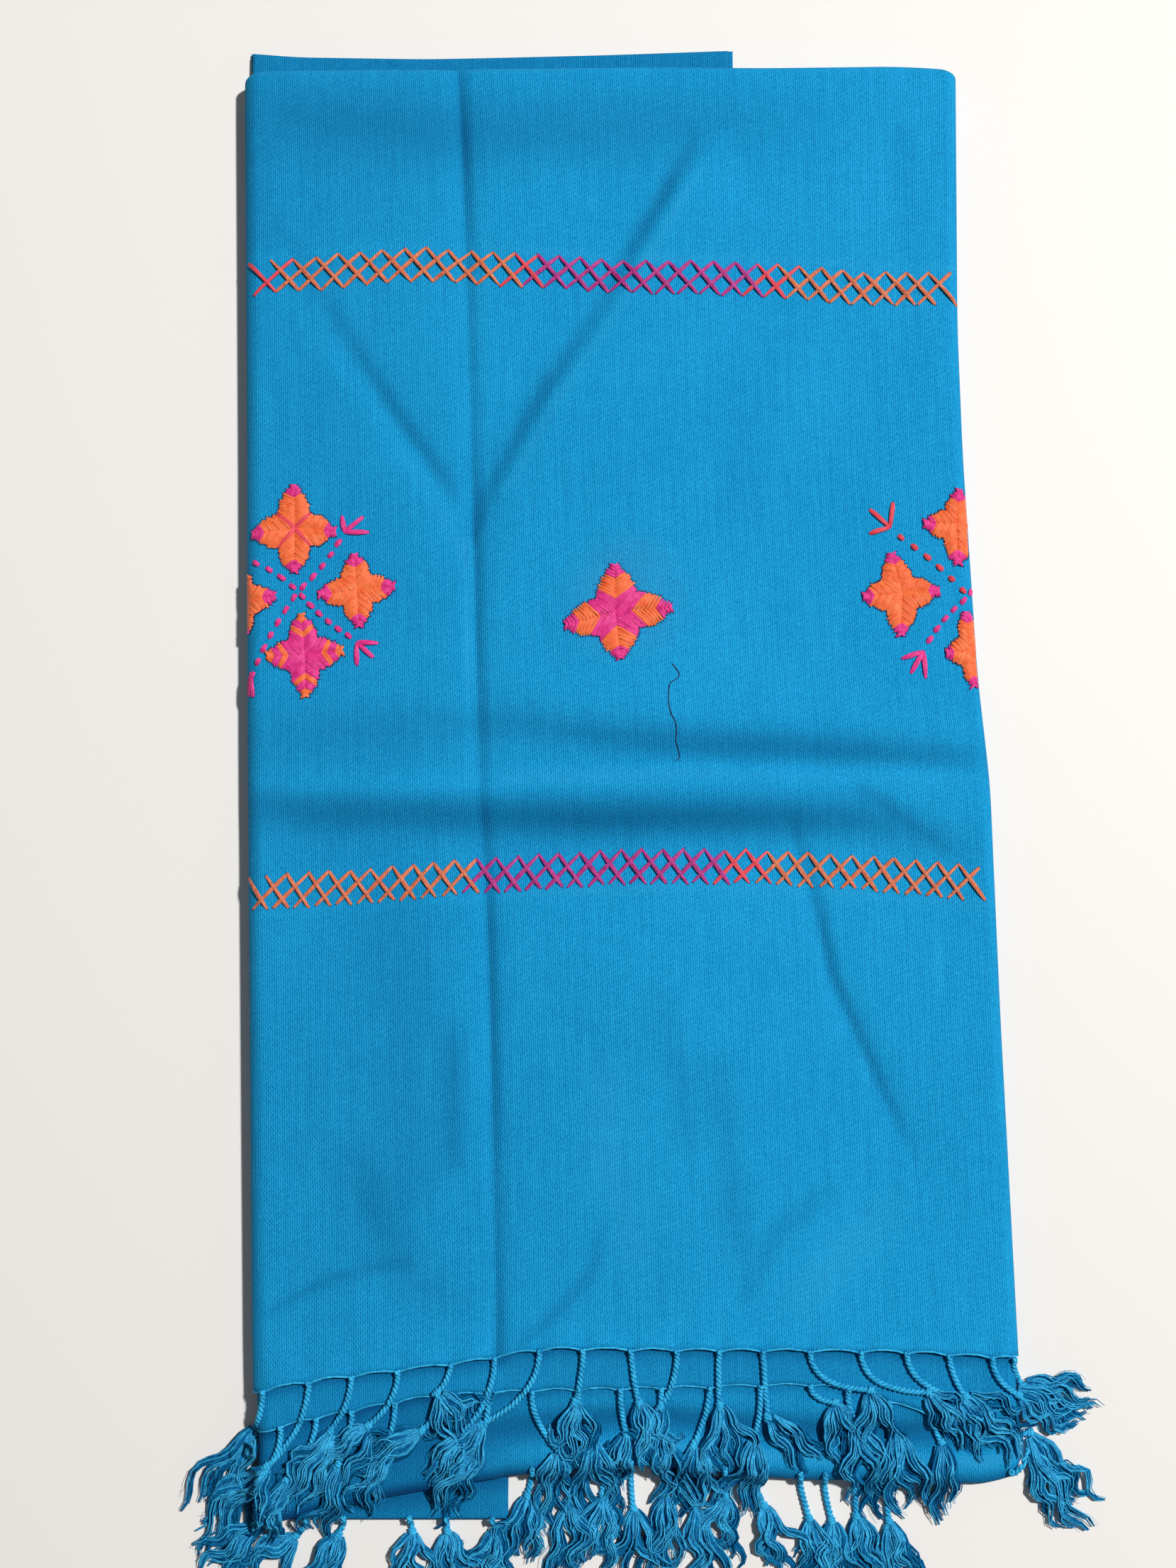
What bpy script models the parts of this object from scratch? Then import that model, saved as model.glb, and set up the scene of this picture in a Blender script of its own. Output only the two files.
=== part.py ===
# A fringed wool shawl, folded into a flat packet and lying on a floor.
# The shawl is one woven panel about 1.00 m by 2.10 m with a twisted fringe at both ends. It is halved
# across its width, folded in four along its length, and its left third is tucked under.
# X runs across the packet, Y from the fringed end to the folded end, and Z up from the floor.
# All sizes below are in millimetres.

import math

import bmesh
import bpy
from mathutils import Vector

MM = 0.001

# The cloth and the stack that it makes
WALL = 1.2
GAP = 0.3
LAYER = WALL + GAP
STACK_LEFT = 16.0
STACK_RIGHT = 12.0
FLAP_TOP = 5.0
FLAP_CLEAR = FLAP_TOP + GAP

# The big fold on the left, the fold on the right, and the fold at the far end
NOSE = 7.0
LIP = 28.0
CAP = 5.0
SKIRT = 6.5
ROLL = 4.0
CORNER = 4.0
SIDE_LOBE = 1.7

# Outlines seen from above, each a list of (place along, place across)
LEFT_EDGE = ((-300, -131), (-225, -133.5), (15, -138), (135, -139.5), (285, -142))
RIGHT_EDGE = ((-290, 174), (-219, 171), (-95, 166), (0, 163), (43, 158.5), (135, 153.5), (188, 152),
              (300, 152.5))
FAR_END = ((-145, 293.5), (-38, 294.7), (60, 296), (130, 297.5), (155, 295.5))
HEM_TOP = ((-135, -242), (-112, -237), (-74, -232.5), (-37, -228), (-19, -224), (126, -226), (175, -229))
HEM_SECOND = ((-135, -258), (-110, -252), (-64, -243), (-14, -240.5), (93, -239), (115, -243.5), (137, -252.5),
              (175, -254))
CORE_END = ((-135, -297), (-113, -290.5), (-77, -283), (-35, -276), (23, -271.5), (80, -277.5), (123, -278.5),
            (164, -279.5), (175, -273))

# The tucked flap: how far it shows past the fold at the far end, and under the fringed end
FLAP_FAR = 305.0
FLAP_TAB = 298.0
FLAP_NEAR = -238.0
TONGUE_SIDE = -261.0
TONGUE_END = -294.0
TAB_LEFT = -140.5
TONGUE_LEFT = -130.5
LIP_CLEAR = LIP + 2.6
TAB_RIGHT = 60.5
FLAP_SHORT = 0.8

# Places across the cloth's upper face, from 0 at the left fold to 1 at the right fold
CREASE = 0.315
FLAP_SIDE = 0.680
STEP = 0.004
LIP_SIDE = 0.074
COLUMNS = (0.0, 0.035, LIP_SIDE, LIP_SIDE + STEP, 0.14, 0.21, 0.27, CREASE, CREASE + STEP, 0.365, 0.43, 0.50,
           0.565, 0.625, FLAP_SIDE, FLAP_SIDE + STEP, 0.74, 0.80, 0.86, 0.92, 0.965, 1.0)
UNDER_COLUMNS = (LIP_SIDE, LIP_SIDE + STEP, CREASE, CREASE + STEP, 0.5, FLAP_SIDE, FLAP_SIDE + STEP,
                 0.86, 0.96)
NOSE_ANGLES = (-90, -62, -34, -8, 18, 44, 68)
CAP_ANGLES = (30, 60, 90)

# Rows along the cloth: shares of the way from the top hem to the far fold, then the fold's own angles
ROWS = (0.0, 0.035, 0.075, 0.145, 0.21, 0.27, 0.32, 0.37, 0.425, 0.455, 0.485, 0.52, 0.57, 0.625, 0.68, 0.74,
        0.80, 0.86, 0.93, 1.0)
SECOND_LENGTH = 0.145
ROLL_ANGLES = (30, 60, 90)
FLAP_SOFTEN = (0.56, 0.80)

# Heights of the stack's middle across the packet, which its two grooved ends close on
MIDDLE_NEAR = ((-33, 8.0), (21, 5.6), (74, 4.2), (127, 3.5))
MIDDLE_FAR = ((58, 8.0), (108, 4.4))
MIDDLE_X = 15.0
TAPER_FROM = 110.0
END_TAPER = 0.35

# Sections that close the core's two ends: (shift along the packet, share of the full height)
NEAR_SQUASH = ((0.2, 0.10), (0.2, 0.30), (1.4, 0.42), (0.4, 0.62), (2.4, 0.88))
FAR_SQUASH = ((0.8, 0.84), (0.4, 0.60), (0.6, 0.36), (0.5, 0.12))

# Sections of its near fold: (shift along the packet, drop of the upper face), then those by the two hems
NEAR_DROPS = ((5.5, 2.0), (12.0, 1.2))
FOLD_DROP = 2.0
HEM_STEP = -1.2
HEM_DROP = 0.3
BEHIND_TOP_HEM = -7.0

# The right side's layered lobes: least reach in, and the slope of its top edge
SIDE_GROOVE = 0.3
SIDE_SLOPE = 0.1
SIDE_LEVELS = ((3, SIDE_GROOVE), (2, SIDE_LOBE), (1, SIDE_GROOVE))

# Sections of the flap's tongue and of its tab: (distance from the end, share of the full height)
TONGUE_SQUASH = ((0.0, 0.12), (0.3, 0.45), (1.2, 0.72), (3.0, 1.0))
TAB_SQUASH = ((2.5, 1.0), (0.8, 0.7), (0.0, 0.12))
FLAP_PLACES = (-150.0, -50.0, 50.0, 150.0, 250.0)
FLAP_SHARES = (0.0, 0.25, 0.5, 0.75, 1.0)
FLAP_JOG = 1.0
FLAP_LEFT_ROUND = 1.0
FLAP_RIGHT_ROUND = 2.0
FLAP_BULGE = 0.6

# Main creases of the upper face: (x, y) of both ends, height (less than 0 is a trough) and reach
CREASES = (
    (-53, 292, -47, 150, -1.3, 6),
    (-47, 150, -43, -1, -1.5, 6),
    (-43, -1, -37, -226, -1.5, 6),
    (35, 244, -46, 99, -1.1, 9),
    (-102, 185, -48, 101, -1.0, 9),
    (-30, 15, 104, 17, -0.9, 6),
    (-30, 4, 104, 2, 0.6, 7),
    (-30, -10, 104, -13, -0.9, 6),
    (82, -17, 100, -70, -1.3, 7),
    (100, -70, 121, -133, -0.9, 7),
    (-118, -203, -84, -188, -0.8, 7),
    (-28, -218, 4, -188, -0.8, 7),
    (70, -60, 74, -215, -0.5, 12),
)

# Fringe: a twisted cord, a knot and a tuft of four locks
CORD = 2.2
KNOT = 3.6
NECK = 2.4
STRIP = 1.2
LOCKS = 4
LOCK_ROOT = 1.2
LOCK_HEIGHT = 1.8
LOCK = 1.9
LOCK_TIP = 1.1
LOCK_APART = 2.6
CORE_DROP = 1.6
CORE_LIFT = 4.3
TIP_CLEAR = 0.35
REACH_AROUND = 8.0
BEND_SHARE = 0.45
CORD_SHARES = (0.45, 0.9)
KNOT_LENGTH = 2.9
LOCK_FAN = 1.25
HEM_NOSE_ANGLES = (44, 68)
HEM_CAP_ANGLES = (30, 60)

# Places at which the side edges are read, and the shading of each piece
LEFT_PROBE = -135.0
RIGHT_PROBE = 160.0
SHARP_ANGLE = 50
ROUGHNESS = 0.88
TOP_COLOR = (0.015, 0.296, 0.591)
SECOND_COLOR = (0.014, 0.28, 0.57)
CORE_COLOR = (0.012, 0.26, 0.53)
FLAP_COLOR = (0.010, 0.23, 0.48)
FRINGE_COLOR = (0.020, 0.30, 0.55)

# One tassel in each row: root x, knot x, knot y, tip x, tip y
TOP_TASSELS = (
    (-124, -132, -260, -160, -281),
    (-110, -125, -265, -135, -284),
    (-93, -101, -256, -116, -279),
    (-75, -86, -255, -94, -269),
    (-54, -59, -243, -62, -263),
    (-37, -44, -254, -49, -273),
    (-19, -32, -247, -36, -266),
    (-2, -5, -245, -3, -267),
    (17, 18, -245, 16, -265),
    (35, 33, -245, 34, -265),
    (52, 52, -244, 54, -265),
    (69, 71, -249, 80, -264),
    (88, 103, -243, 108, -265),
    (108, 124, -245, 131, -266),
    (126, 141, -243, 147, -265),
    (143, 153, -240, 162, -262),
    (157, 167, -240, 189, -257),
    (165, 176, -233, 201, -240),
)
SECOND_TASSELS = (
    (-121, -130, -275, -153, -298),
    (-107, -115, -270, -122, -292),
    (-93, -98, -267, -104, -289),
    (-76, -80, -263, -83, -284),
    (-59, -64, -258, -68, -279),
    (-39, -42, -262, -47, -283),
    (-22, -15, -261, -13, -281),
    (-4, 2, -260, 4, -280),
    (13, 16, -260, 19, -279),
    (29, 29, -260, 32, -279),
    (48, 45, -257, 47, -279),
    (68, 66, -260, 64, -280),
    (84, 84, -259, 86, -280),
    (101, 104, -261, 106, -281),
    (118, 121, -264, 125, -284),
    (138, 140, -267, 143, -287),
    (160, 175, -266, 198, -277),
)
LEFT_UNDER_TASSELS = (
    (-122, -127, -304, -144, -317),
    (-107, -111, -303, -116, -318),
    (-71, -70, -303, -69, -320),
    (-53, -52, -302, -51, -319),
    (-36, -35, -302, -33, -318),
)
RIGHT_UNDER_TASSELS = (
    (-20, -22, -288, -23, -307),
    (-4, -3, -286, -1, -305),
    (11, 13, -285, 14, -303),
    (27, 28, -284, 30, -302),
    (44, 46, -289, 49, -311),
    (64, 66, -288, 68, -307),
    (85, 87, -292, 88, -309),
    (102, 102, -294, 102, -313),
    (119, 118, -296, 121, -315),
    (160, 172, -288, 194, -293),
)


def read_along(table, place):
    """Read a table of (place, value) pairs with straight runs between its rows."""
    if place <= table[0][0]:
        return table[0][1]
    for (low, first), (high, last) in zip(table, table[1:]):
        if place <= high:
            return first + (last - first) * (place - low) / (high - low)
    return table[-1][1]


def ease(low, high, value):
    """Go smoothly from 0 at low to 1 at high."""
    share = min(max((value - low) / (high - low), 0.0), 1.0)
    return share * share * (3 - 2 * share)


def crease_height(x, y):
    """Add up the troughs and ridges that cross a place."""
    total = 0.0
    for x0, y0, x1, y1, height, reach in CREASES:
        run = Vector((x1 - x0, y1 - y0))
        here = Vector((x - x0, y - y0))
        share = here.dot(run) / run.length_squared
        inside = min(max(share, 0.0), 1.0)
        away = (here - run * inside).length / reach
        total += height * math.exp(-away * away)
    return total


def stack_height(x, y):
    """Give the upper face's height: lower where the tucked flap ends, and creased."""
    left = read_along(LEFT_EDGE, y) + NOSE
    right = read_along(RIGHT_EDGE, y) - CAP
    across = (x - left) / (right - left)
    base = STACK_LEFT + (STACK_RIGHT - STACK_LEFT) * ease(*FLAP_SOFTEN, across)
    return base + crease_height(x, y) * ease(0.0, 0.05, across) * ease(1.0, 0.95, across)


class Row:
    """One row of points across the packet, at a share of its length or at its own line."""

    def __init__(self, share=0.0, roll=0.0, line=None, shift=0.0):
        self.share = share
        self.roll = math.radians(roll)
        self.line = line
        self.shift = shift

    def inset(self, depth):
        """Give the section's inset, which grows round the fold at the far end."""
        return ROLL - (ROLL - depth) * math.cos(self.roll)

    def y(self, x, depth):
        """Give the row's place along the packet at one x."""
        if self.line:
            return read_along(self.line, x) + self.shift
        hem = read_along(HEM_TOP, x)
        fold = read_along(FAR_END, x) - ROLL
        return hem + (fold - hem) * self.share + (ROLL - depth) * math.sin(self.roll)

    def edges(self, depth, rounded=True):
        """Give the left and right edges of the packet, drawn in where the far corners are rounded."""
        corner = CORNER * (1 - math.cos(self.roll)) if rounded else 0.0
        left = read_along(LEFT_EDGE, self.y(LEFT_PROBE, depth)) + corner
        right = read_along(RIGHT_EDGE, self.y(RIGHT_PROBE, depth)) - corner
        return left, right

    def nose(self, depth, angles, under=None):
        """Give the rounded left fold, from low to high."""
        left, _ = self.edges(depth)
        inset = self.inset(depth)
        y = self.y(left, depth)
        high = stack_height(left + NOSE, y) - inset
        low = inset if under is None else under
        middle = (high + low) / 2
        points = []
        for angle in angles:
            turn = math.radians(angle)
            x = left + NOSE - (NOSE - inset) * math.cos(turn)
            points.append((x, y, middle + (high - low) / 2 * math.sin(turn)))
        return points

    def top(self, depth, columns=COLUMNS, drop=0.0):
        """Give the upper face, from left to right."""
        left, right = self.edges(depth)
        points = []
        for share in columns:
            x = left + NOSE + share * (right - CAP - left - NOSE)
            y = self.y(x, depth)
            points.append((x, y, stack_height(x, y) - self.inset(depth) - drop))
        return points

    def cap(self, depth, angles=CAP_ANGLES, drop=0.0, least=0.0):
        """Give the fold on the right, from high to low, and its skirt."""
        _, right = self.edges(depth)
        inset = self.inset(depth)
        y = self.y(right, depth)
        height = stack_height(right - CAP, y) - drop
        low = max(height - CAP, least)
        points = []
        for angle in angles:
            turn = math.radians(angle)
            x = right - CAP + (CAP - inset) * math.sin(turn)
            points.append((x, y, low + (height - inset - low) * math.cos(turn)))
        return points, (right, y, height)


def shell_row(row, depth, angles, lip):
    """Give one row of a cloth layer that wraps the packet."""
    points = []
    if lip:
        left, _ = row.edges(depth, rounded=False)
        y = row.y(left, depth)
        for reach in (LIP, (LIP + NOSE) / 2):
            points.append((left + reach, y, row.inset(depth)))
    points += row.nose(depth, angles)
    points += row.top(depth)
    fold, (right, y, height) = row.cap(depth)
    points += fold
    points.append((right - row.inset(depth), y, height - SKIRT))
    return points


class Piece:
    """Collects points and faces in millimetres and makes one closed object of them."""

    def __init__(self, name):
        self.name = name
        self.bm = bmesh.new()

    def point(self, place):
        return self.bm.verts.new([value * MM for value in place])

    def ring(self, places):
        return [self.point(place) for place in places]

    def face(self, *points):
        self.bm.faces.new(points)

    def bridge(self, first, second, closed):
        """Join two rows of points with faces."""
        count = len(first)
        for index in range(count if closed else count - 1):
            after = (index + 1) % count
            self.face(first[index], first[after], second[after], second[index])

    def close_end(self, upper, lower):
        """Close the face between two chains that both run from left to right."""
        high = low = 0
        while high < len(upper) - 1 or low < len(lower) - 1:
            more_high = high < len(upper) - 1
            more_low = low < len(lower) - 1
            if more_high and (not more_low or upper[high + 1].co.x <= lower[low + 1].co.x):
                self.face(upper[high], upper[high + 1], lower[low])
                high += 1
            else:
                self.face(upper[high], lower[low + 1], lower[low])
                low += 1

    def loft(self, sections):
        """Join sections, each an upper and a lower chain, one after another and close both ends."""
        chains = [(self.ring(upper), self.ring(lower)) for upper, lower in sections]
        rings = [upper + lower[::-1] for upper, lower in chains]
        for first, second in zip(rings, rings[1:]):
            self.bridge(first, second, closed=True)
        self.close_end(*chains[0])
        self.close_end(*chains[-1])

    def finish(self, color):
        """Turn the faces outwards and give the object its own material."""
        bmesh.ops.recalc_face_normals(self.bm, faces=self.bm.faces)
        mesh = bpy.data.meshes.new(self.name)
        self.bm.to_mesh(mesh)
        self.bm.free()
        mesh.shade_smooth()
        mesh.set_sharp_from_angle(angle=math.radians(SHARP_ANGLE))
        material = bpy.data.materials.new(self.name + "_cloth")
        material.use_nodes = True
        shader = material.node_tree.nodes["Principled BSDF"]
        shader.inputs["Base Color"].default_value = (*color, 1.0)
        shader.inputs["Roughness"].default_value = ROUGHNESS
        shader.inputs["Metallic"].default_value = 0.0
        mesh.materials.append(material)
        made = bpy.data.objects.new(self.name, mesh)
        bpy.context.collection.objects.link(made)
        return made


def wrap_layer(name, rows, depth, angles, lip, color):
    """Make a cloth layer: an outer and an inner surface one wall apart, closed round its rim."""
    piece = Piece(name)
    outer = [piece.ring(shell_row(row, depth, angles, lip)) for row in rows]
    inner = [piece.ring(shell_row(row, depth + WALL, angles, lip)) for row in rows]
    for sheet in (outer, inner):
        for first, second in zip(sheet, sheet[1:]):
            piece.bridge(first, second, closed=False)
    piece.bridge(outer[0], inner[0], closed=False)
    piece.bridge(outer[-1], inner[-1], closed=False)
    piece.bridge([row[0] for row in outer], [row[0] for row in inner], closed=False)
    piece.bridge([row[-1] for row in outer], [row[-1] for row in inner], closed=False)
    return piece.finish(color)


def core_under(share, tongue, row):
    """Give the height of the core's underside, which steps over the lip and the tucked flap."""
    if tongue:
        return FLAP_CLEAR if share <= CREASE else 0.0
    if share <= LIP_SIDE:
        return row.inset(LAYER)
    return FLAP_CLEAR if share <= FLAP_SIDE else 0.0


def core_loop(row, depth, drop, zone):
    """Give one closed section of the core: over the top from the left, and back underneath."""
    tongue = zone == "tongue"
    left, right = row.edges(depth)
    low = FLAP_CLEAR if tongue else None
    nose = row.nose(depth, NOSE_ANGLES, under=low)
    if drop:
        nose = [(x, y, z - drop * ease(low, STACK_LEFT, z)) for x, y, z in nose]
    top = row.top(depth, drop=drop)
    least = STACK_RIGHT - SKIRT - GAP
    fold, _ = row.cap(depth, drop=drop, least=least)
    side_y = fold[0][1]
    inset = row.inset(depth)
    lobe = least / 4
    side = [(right - inset, side_y, least - SIDE_SLOPE)]
    for level, reach in SIDE_LEVELS:
        side.append((right - reach, side_y, lobe * level))
    under = []
    plain_left, plain_right = row.edges(depth, rounded=False)
    start = plain_left + NOSE
    for share in UNDER_COLUMNS:
        x = start + share * (plain_right - CAP - start)
        y = row.y(left if share == LIP_SIDE else x, depth)
        under.append((x, y, core_under(share, tongue, row)))
    side.append((right - SIDE_LOBE, side_y, 0.0))
    return nose[1:] + top + fold + side, nose[:1] + under


def squash(section, middles, squeeze, recess=0.0):
    """Pull a section towards the middle of the stack, for the rounded and grooved ends."""
    drawn_chains = []
    for chain in section:
        drawn_chain = []
        for x, y, z in chain:
            middle = read_along(middles, x)
            outside = max(abs(x - MIDDLE_X) - TAPER_FROM, 0.0)
            drawn = x - math.copysign(outside * (1 - squeeze) * END_TAPER, x - MIDDLE_X)
            drawn_chain.append((drawn, y + recess, middle + (z - middle) * squeeze))
        drawn_chains.append(drawn_chain)
    return drawn_chains


def core_rows():
    """List the core's sections from its near end to its far end."""
    rows = []
    for shift, squeeze in NEAR_SQUASH:
        section = core_loop(Row(line=CORE_END, shift=shift), 2 * LAYER, FOLD_DROP, "tongue")
        rows.append(squash(section, MIDDLE_NEAR, squeeze))
    for shift, drop in NEAR_DROPS:
        rows.append(core_loop(Row(line=CORE_END, shift=shift), 2 * LAYER, drop, "tongue"))
    rows.append(core_loop(Row(line=HEM_SECOND, shift=HEM_STEP), 2 * LAYER, HEM_DROP, "tongue"))
    rows.append(core_loop(Row(line=HEM_SECOND), 2 * LAYER, 0.0, "body"))
    rows.append(core_loop(Row(line=HEM_TOP, shift=BEHIND_TOP_HEM), 2 * LAYER, 0.0, "body"))
    for share in ROWS:
        depth = 2 * LAYER if share <= SECOND_LENGTH else LAYER
        rows.append(core_loop(Row(share), depth, 0.0, "body"))
    for angle in ROLL_ANGLES:
        rows.append(core_loop(Row(1.0, angle), LAYER, 0.0, "body"))
    last = rows[-1]
    for recess, squeeze in FAR_SQUASH:
        rows.append(squash(last, MIDDLE_FAR, squeeze, recess))
    return rows


def make_core():
    """Make the hidden layers as one rounded solid, layered at its edges."""
    piece = Piece("folded_core")
    piece.loft(core_rows())
    return piece.finish(CORE_COLOR)


def flap_section(y, left, right, squeeze=1.0):
    """Give one closed section of the tucked flap, with a rounded right fold."""
    middle = FLAP_TOP / 2
    half = middle * squeeze
    width = right - left - FLAP_LEFT_ROUND - FLAP_RIGHT_ROUND
    across = [left + FLAP_LEFT_ROUND + width * share for share in FLAP_SHARES]
    upper = [(left, y, middle)] + [(x, y, middle + half) for x in across]
    upper.append((right - FLAP_BULGE, y, middle + half * FLAP_BULGE))
    upper.append((right, y, middle))
    upper.append((right - FLAP_BULGE, y, middle - half * FLAP_BULGE))
    return upper, [(x, y, middle - half) for x in across]


def flap_side(y, share=FLAP_SIDE):
    """Give the x of the flap's right fold, just short of the step in the core's underside."""
    left = read_along(LEFT_EDGE, y) + NOSE
    right = read_along(RIGHT_EDGE, y) - CAP
    return left + share * (right - left) - FLAP_SHORT


def flap_sections():
    """List the flap's sections from the near tongue to the far tab."""
    rows = []
    tongue_right = flap_side(TONGUE_END, CREASE)
    for back, squeeze in TONGUE_SQUASH:
        rows.append(flap_section(TONGUE_END + back, TONGUE_LEFT, tongue_right, squeeze))
    rows.append(flap_section(TONGUE_SIDE, TONGUE_LEFT, flap_side(TONGUE_SIDE, CREASE)))
    for y in (TONGUE_SIDE + FLAP_JOG, FLAP_NEAR):
        rows.append(flap_section(y, read_along(LEFT_EDGE, y) + LIP_CLEAR, flap_side(y, CREASE)))
    for y in (FLAP_NEAR + FLAP_JOG, *FLAP_PLACES, FLAP_TAB - FLAP_JOG):
        rows.append(flap_section(y, read_along(LEFT_EDGE, y) + LIP_CLEAR, flap_side(y)))
    rows.append(flap_section(FLAP_TAB, TAB_LEFT, TAB_RIGHT))
    for back, squeeze in TAB_SQUASH:
        rows.append(flap_section(FLAP_FAR - back, TAB_LEFT, TAB_RIGHT, squeeze))
    return rows


def make_flap():
    """Make the part of the packet that is tucked under and lies on the floor."""
    piece = Piece("under_flap")
    piece.loft(flap_sections())
    return piece.finish(FLAP_COLOR)


def resting_height(x, y, lift):
    """Give the height of what lies under one place of the fringe."""
    left = read_along(LEFT_EDGE, y)
    right = read_along(RIGHT_EDGE, y)
    end = read_along(CORE_END, x)
    hem = read_along(HEM_SECOND, x)
    if left < x < right and y > end:
        stack = stack_height(x, y)
        if y > read_along(HEM_TOP, x):
            return stack
        if y > hem:
            return stack - LAYER
        return stack - 2 * LAYER - CORE_DROP * ease(hem, end + NOSE, y) + lift
    tongue = TONGUE_LEFT < x < flap_side(TONGUE_END, CREASE) and TONGUE_END < y < end
    return FLAP_TOP if tongue else 0.0


def clear_height(x, y, lift):
    """Give the highest resting height close round a place, so that straight stretches clear the edges."""
    if lift is None:
        return TIP_CLEAR
    heights = [resting_height(x, y, lift)]
    for step in range(8):
        turn = math.radians(45 * step)
        near_x = x + REACH_AROUND * math.cos(turn)
        near_y = y + REACH_AROUND * math.sin(turn)
        heights.append(resting_height(near_x, near_y, lift))
    return max(heights) + TIP_CLEAR


def cross_section(x, y, way, width, height, lift):
    """Give the four corners of a strand at one place: left and right of its way, above and below."""
    middle = Vector((x, y, clear_height(x, y, lift) + height / 2))
    side = Vector((way.y, -way.x, 0.0)).normalized() * (width / 2)
    up = Vector((0.0, 0.0, height / 2))
    return [middle + side + up, middle - side + up, middle - side - up, middle + side - up]


def add_tassel(piece, root, start_y, places, lift):
    """Grow one tassel out of a face of its strip: the cord, the knot and the tuft's four locks."""
    root_x, knot_x, knot_y, tip_x, tip_y = places
    start = Vector((root_x, start_y))
    knot = Vector((knot_x, knot_y))
    tip = Vector((tip_x, tip_y))
    bend = Vector((root_x, start_y - (knot - start).length * BEND_SHARE))
    ring = root
    for share in CORD_SHARES:
        rest = 1 - share
        place = start * rest * rest + bend * 2 * rest * share + knot * share * share
        way = (bend - start) * rest + (knot - bend) * share
        after = piece.ring(cross_section(place.x, place.y, way, CORD, CORD, lift))
        piece.bridge(ring, after, closed=True)
        ring = after
    way = (tip - knot).normalized()
    turned = ((knot - bend).normalized() + way).normalized()
    for along, heading in ((0.0, turned), (KNOT_LENGTH, way)):
        place = knot + heading * along
        after = piece.ring(cross_section(place.x, place.y, heading, KNOT, KNOT, lift))
        piece.bridge(ring, after, closed=True)
        ring = after
    neck = knot + way * (KNOT_LENGTH + NECK)
    corners = cross_section(neck.x, neck.y, way, LOCKS * LOCK_ROOT, LOCK_HEIGHT, lift)
    upper = [piece.point(corners[0].lerp(corners[1], step / LOCKS)) for step in range(LOCKS + 1)]
    lower = [piece.point(corners[3].lerp(corners[2], step / LOCKS)) for step in range(LOCKS + 1)]
    piece.face(ring[0], ring[1], *upper[::-1])
    piece.face(ring[1], ring[2], lower[-1], upper[-1])
    piece.face(ring[2], ring[3], *lower)
    piece.face(ring[3], ring[0], upper[0], lower[0])
    side = Vector((way.y, -way.x))
    for step in range(LOCKS):
        ring = [upper[step], upper[step + 1], lower[step + 1], lower[step]]
        offset = (LOCKS - 1) / 2 - step
        for share, apart, width in ((0.5, LOCK_APART, LOCK), (1.0, LOCK_APART * LOCK_FAN, LOCK_TIP)):
            place = neck.lerp(tip, share) + side * offset * apart
            after = piece.ring(cross_section(place.x, place.y, way, width, width, lift))
            piece.bridge(ring, after, closed=True)
            ring = after
        piece.face(*ring)


def make_fringe(name, line, tassels, lift):
    """Make a strip that follows a line of (x, y, top) places, and the tassels that hang from it."""
    piece = Piece(name)
    profile = [(x, y) for x, y, _ in line]
    tops = [(x, top) for x, _, top in line]
    half = CORD / 2
    roots = {tassel[0] - half: tassel for tassel in tassels}
    first = tassels[0][0] - CORD
    last = tassels[-1][0] + CORD
    stations = {first, last}
    for root_x, *_ in tassels:
        stations |= {root_x - half, root_x + half}
    for x, _, _ in line:
        if first < x < last and all(abs(x - station) > half for station in stations):
            stations.add(x)
    ordered = sorted(stations)
    rings = []
    for x in ordered:
        back = read_along(profile, x) - GAP
        top = read_along(tops, x)
        front = back - STRIP
        low = top - STRIP
        rings.append(piece.ring([(x, back, top), (x, front, top), (x, front, low), (x, back, low)]))
    for x, here, after in zip(ordered, rings, rings[1:]):
        for side in range(4):
            following = (side + 1) % 4
            if side == 1 and x in roots:
                root = [here[1], after[1], after[2], here[2]]
                start_y = read_along(profile, x) - GAP - STRIP
                add_tassel(piece, root, start_y, roots[x], lift)
            else:
                piece.face(here[side], here[following], after[following], after[side])
    piece.face(*rings[0])
    piece.face(*rings[-1])
    return piece.finish(FRINGE_COLOR)


def hem_line(row, depth):
    """Give the places along a layer's edge, between its two folds."""
    fold, _ = row.cap(depth, HEM_CAP_ANGLES)
    return row.nose(depth, HEM_NOSE_ANGLES) + row.top(depth) + fold


def stand_on_middle():
    """Move every piece so that the origin lies under the middle of the whole shawl."""
    places = [vertex.co for piece in bpy.data.objects for vertex in piece.data.vertices]
    middle = Vector()
    for axis in (0, 1):
        values = [place[axis] for place in places]
        middle[axis] = (min(values) + max(values)) / 2
    for piece in bpy.data.objects:
        for vertex in piece.data.vertices:
            vertex.co -= middle


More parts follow.
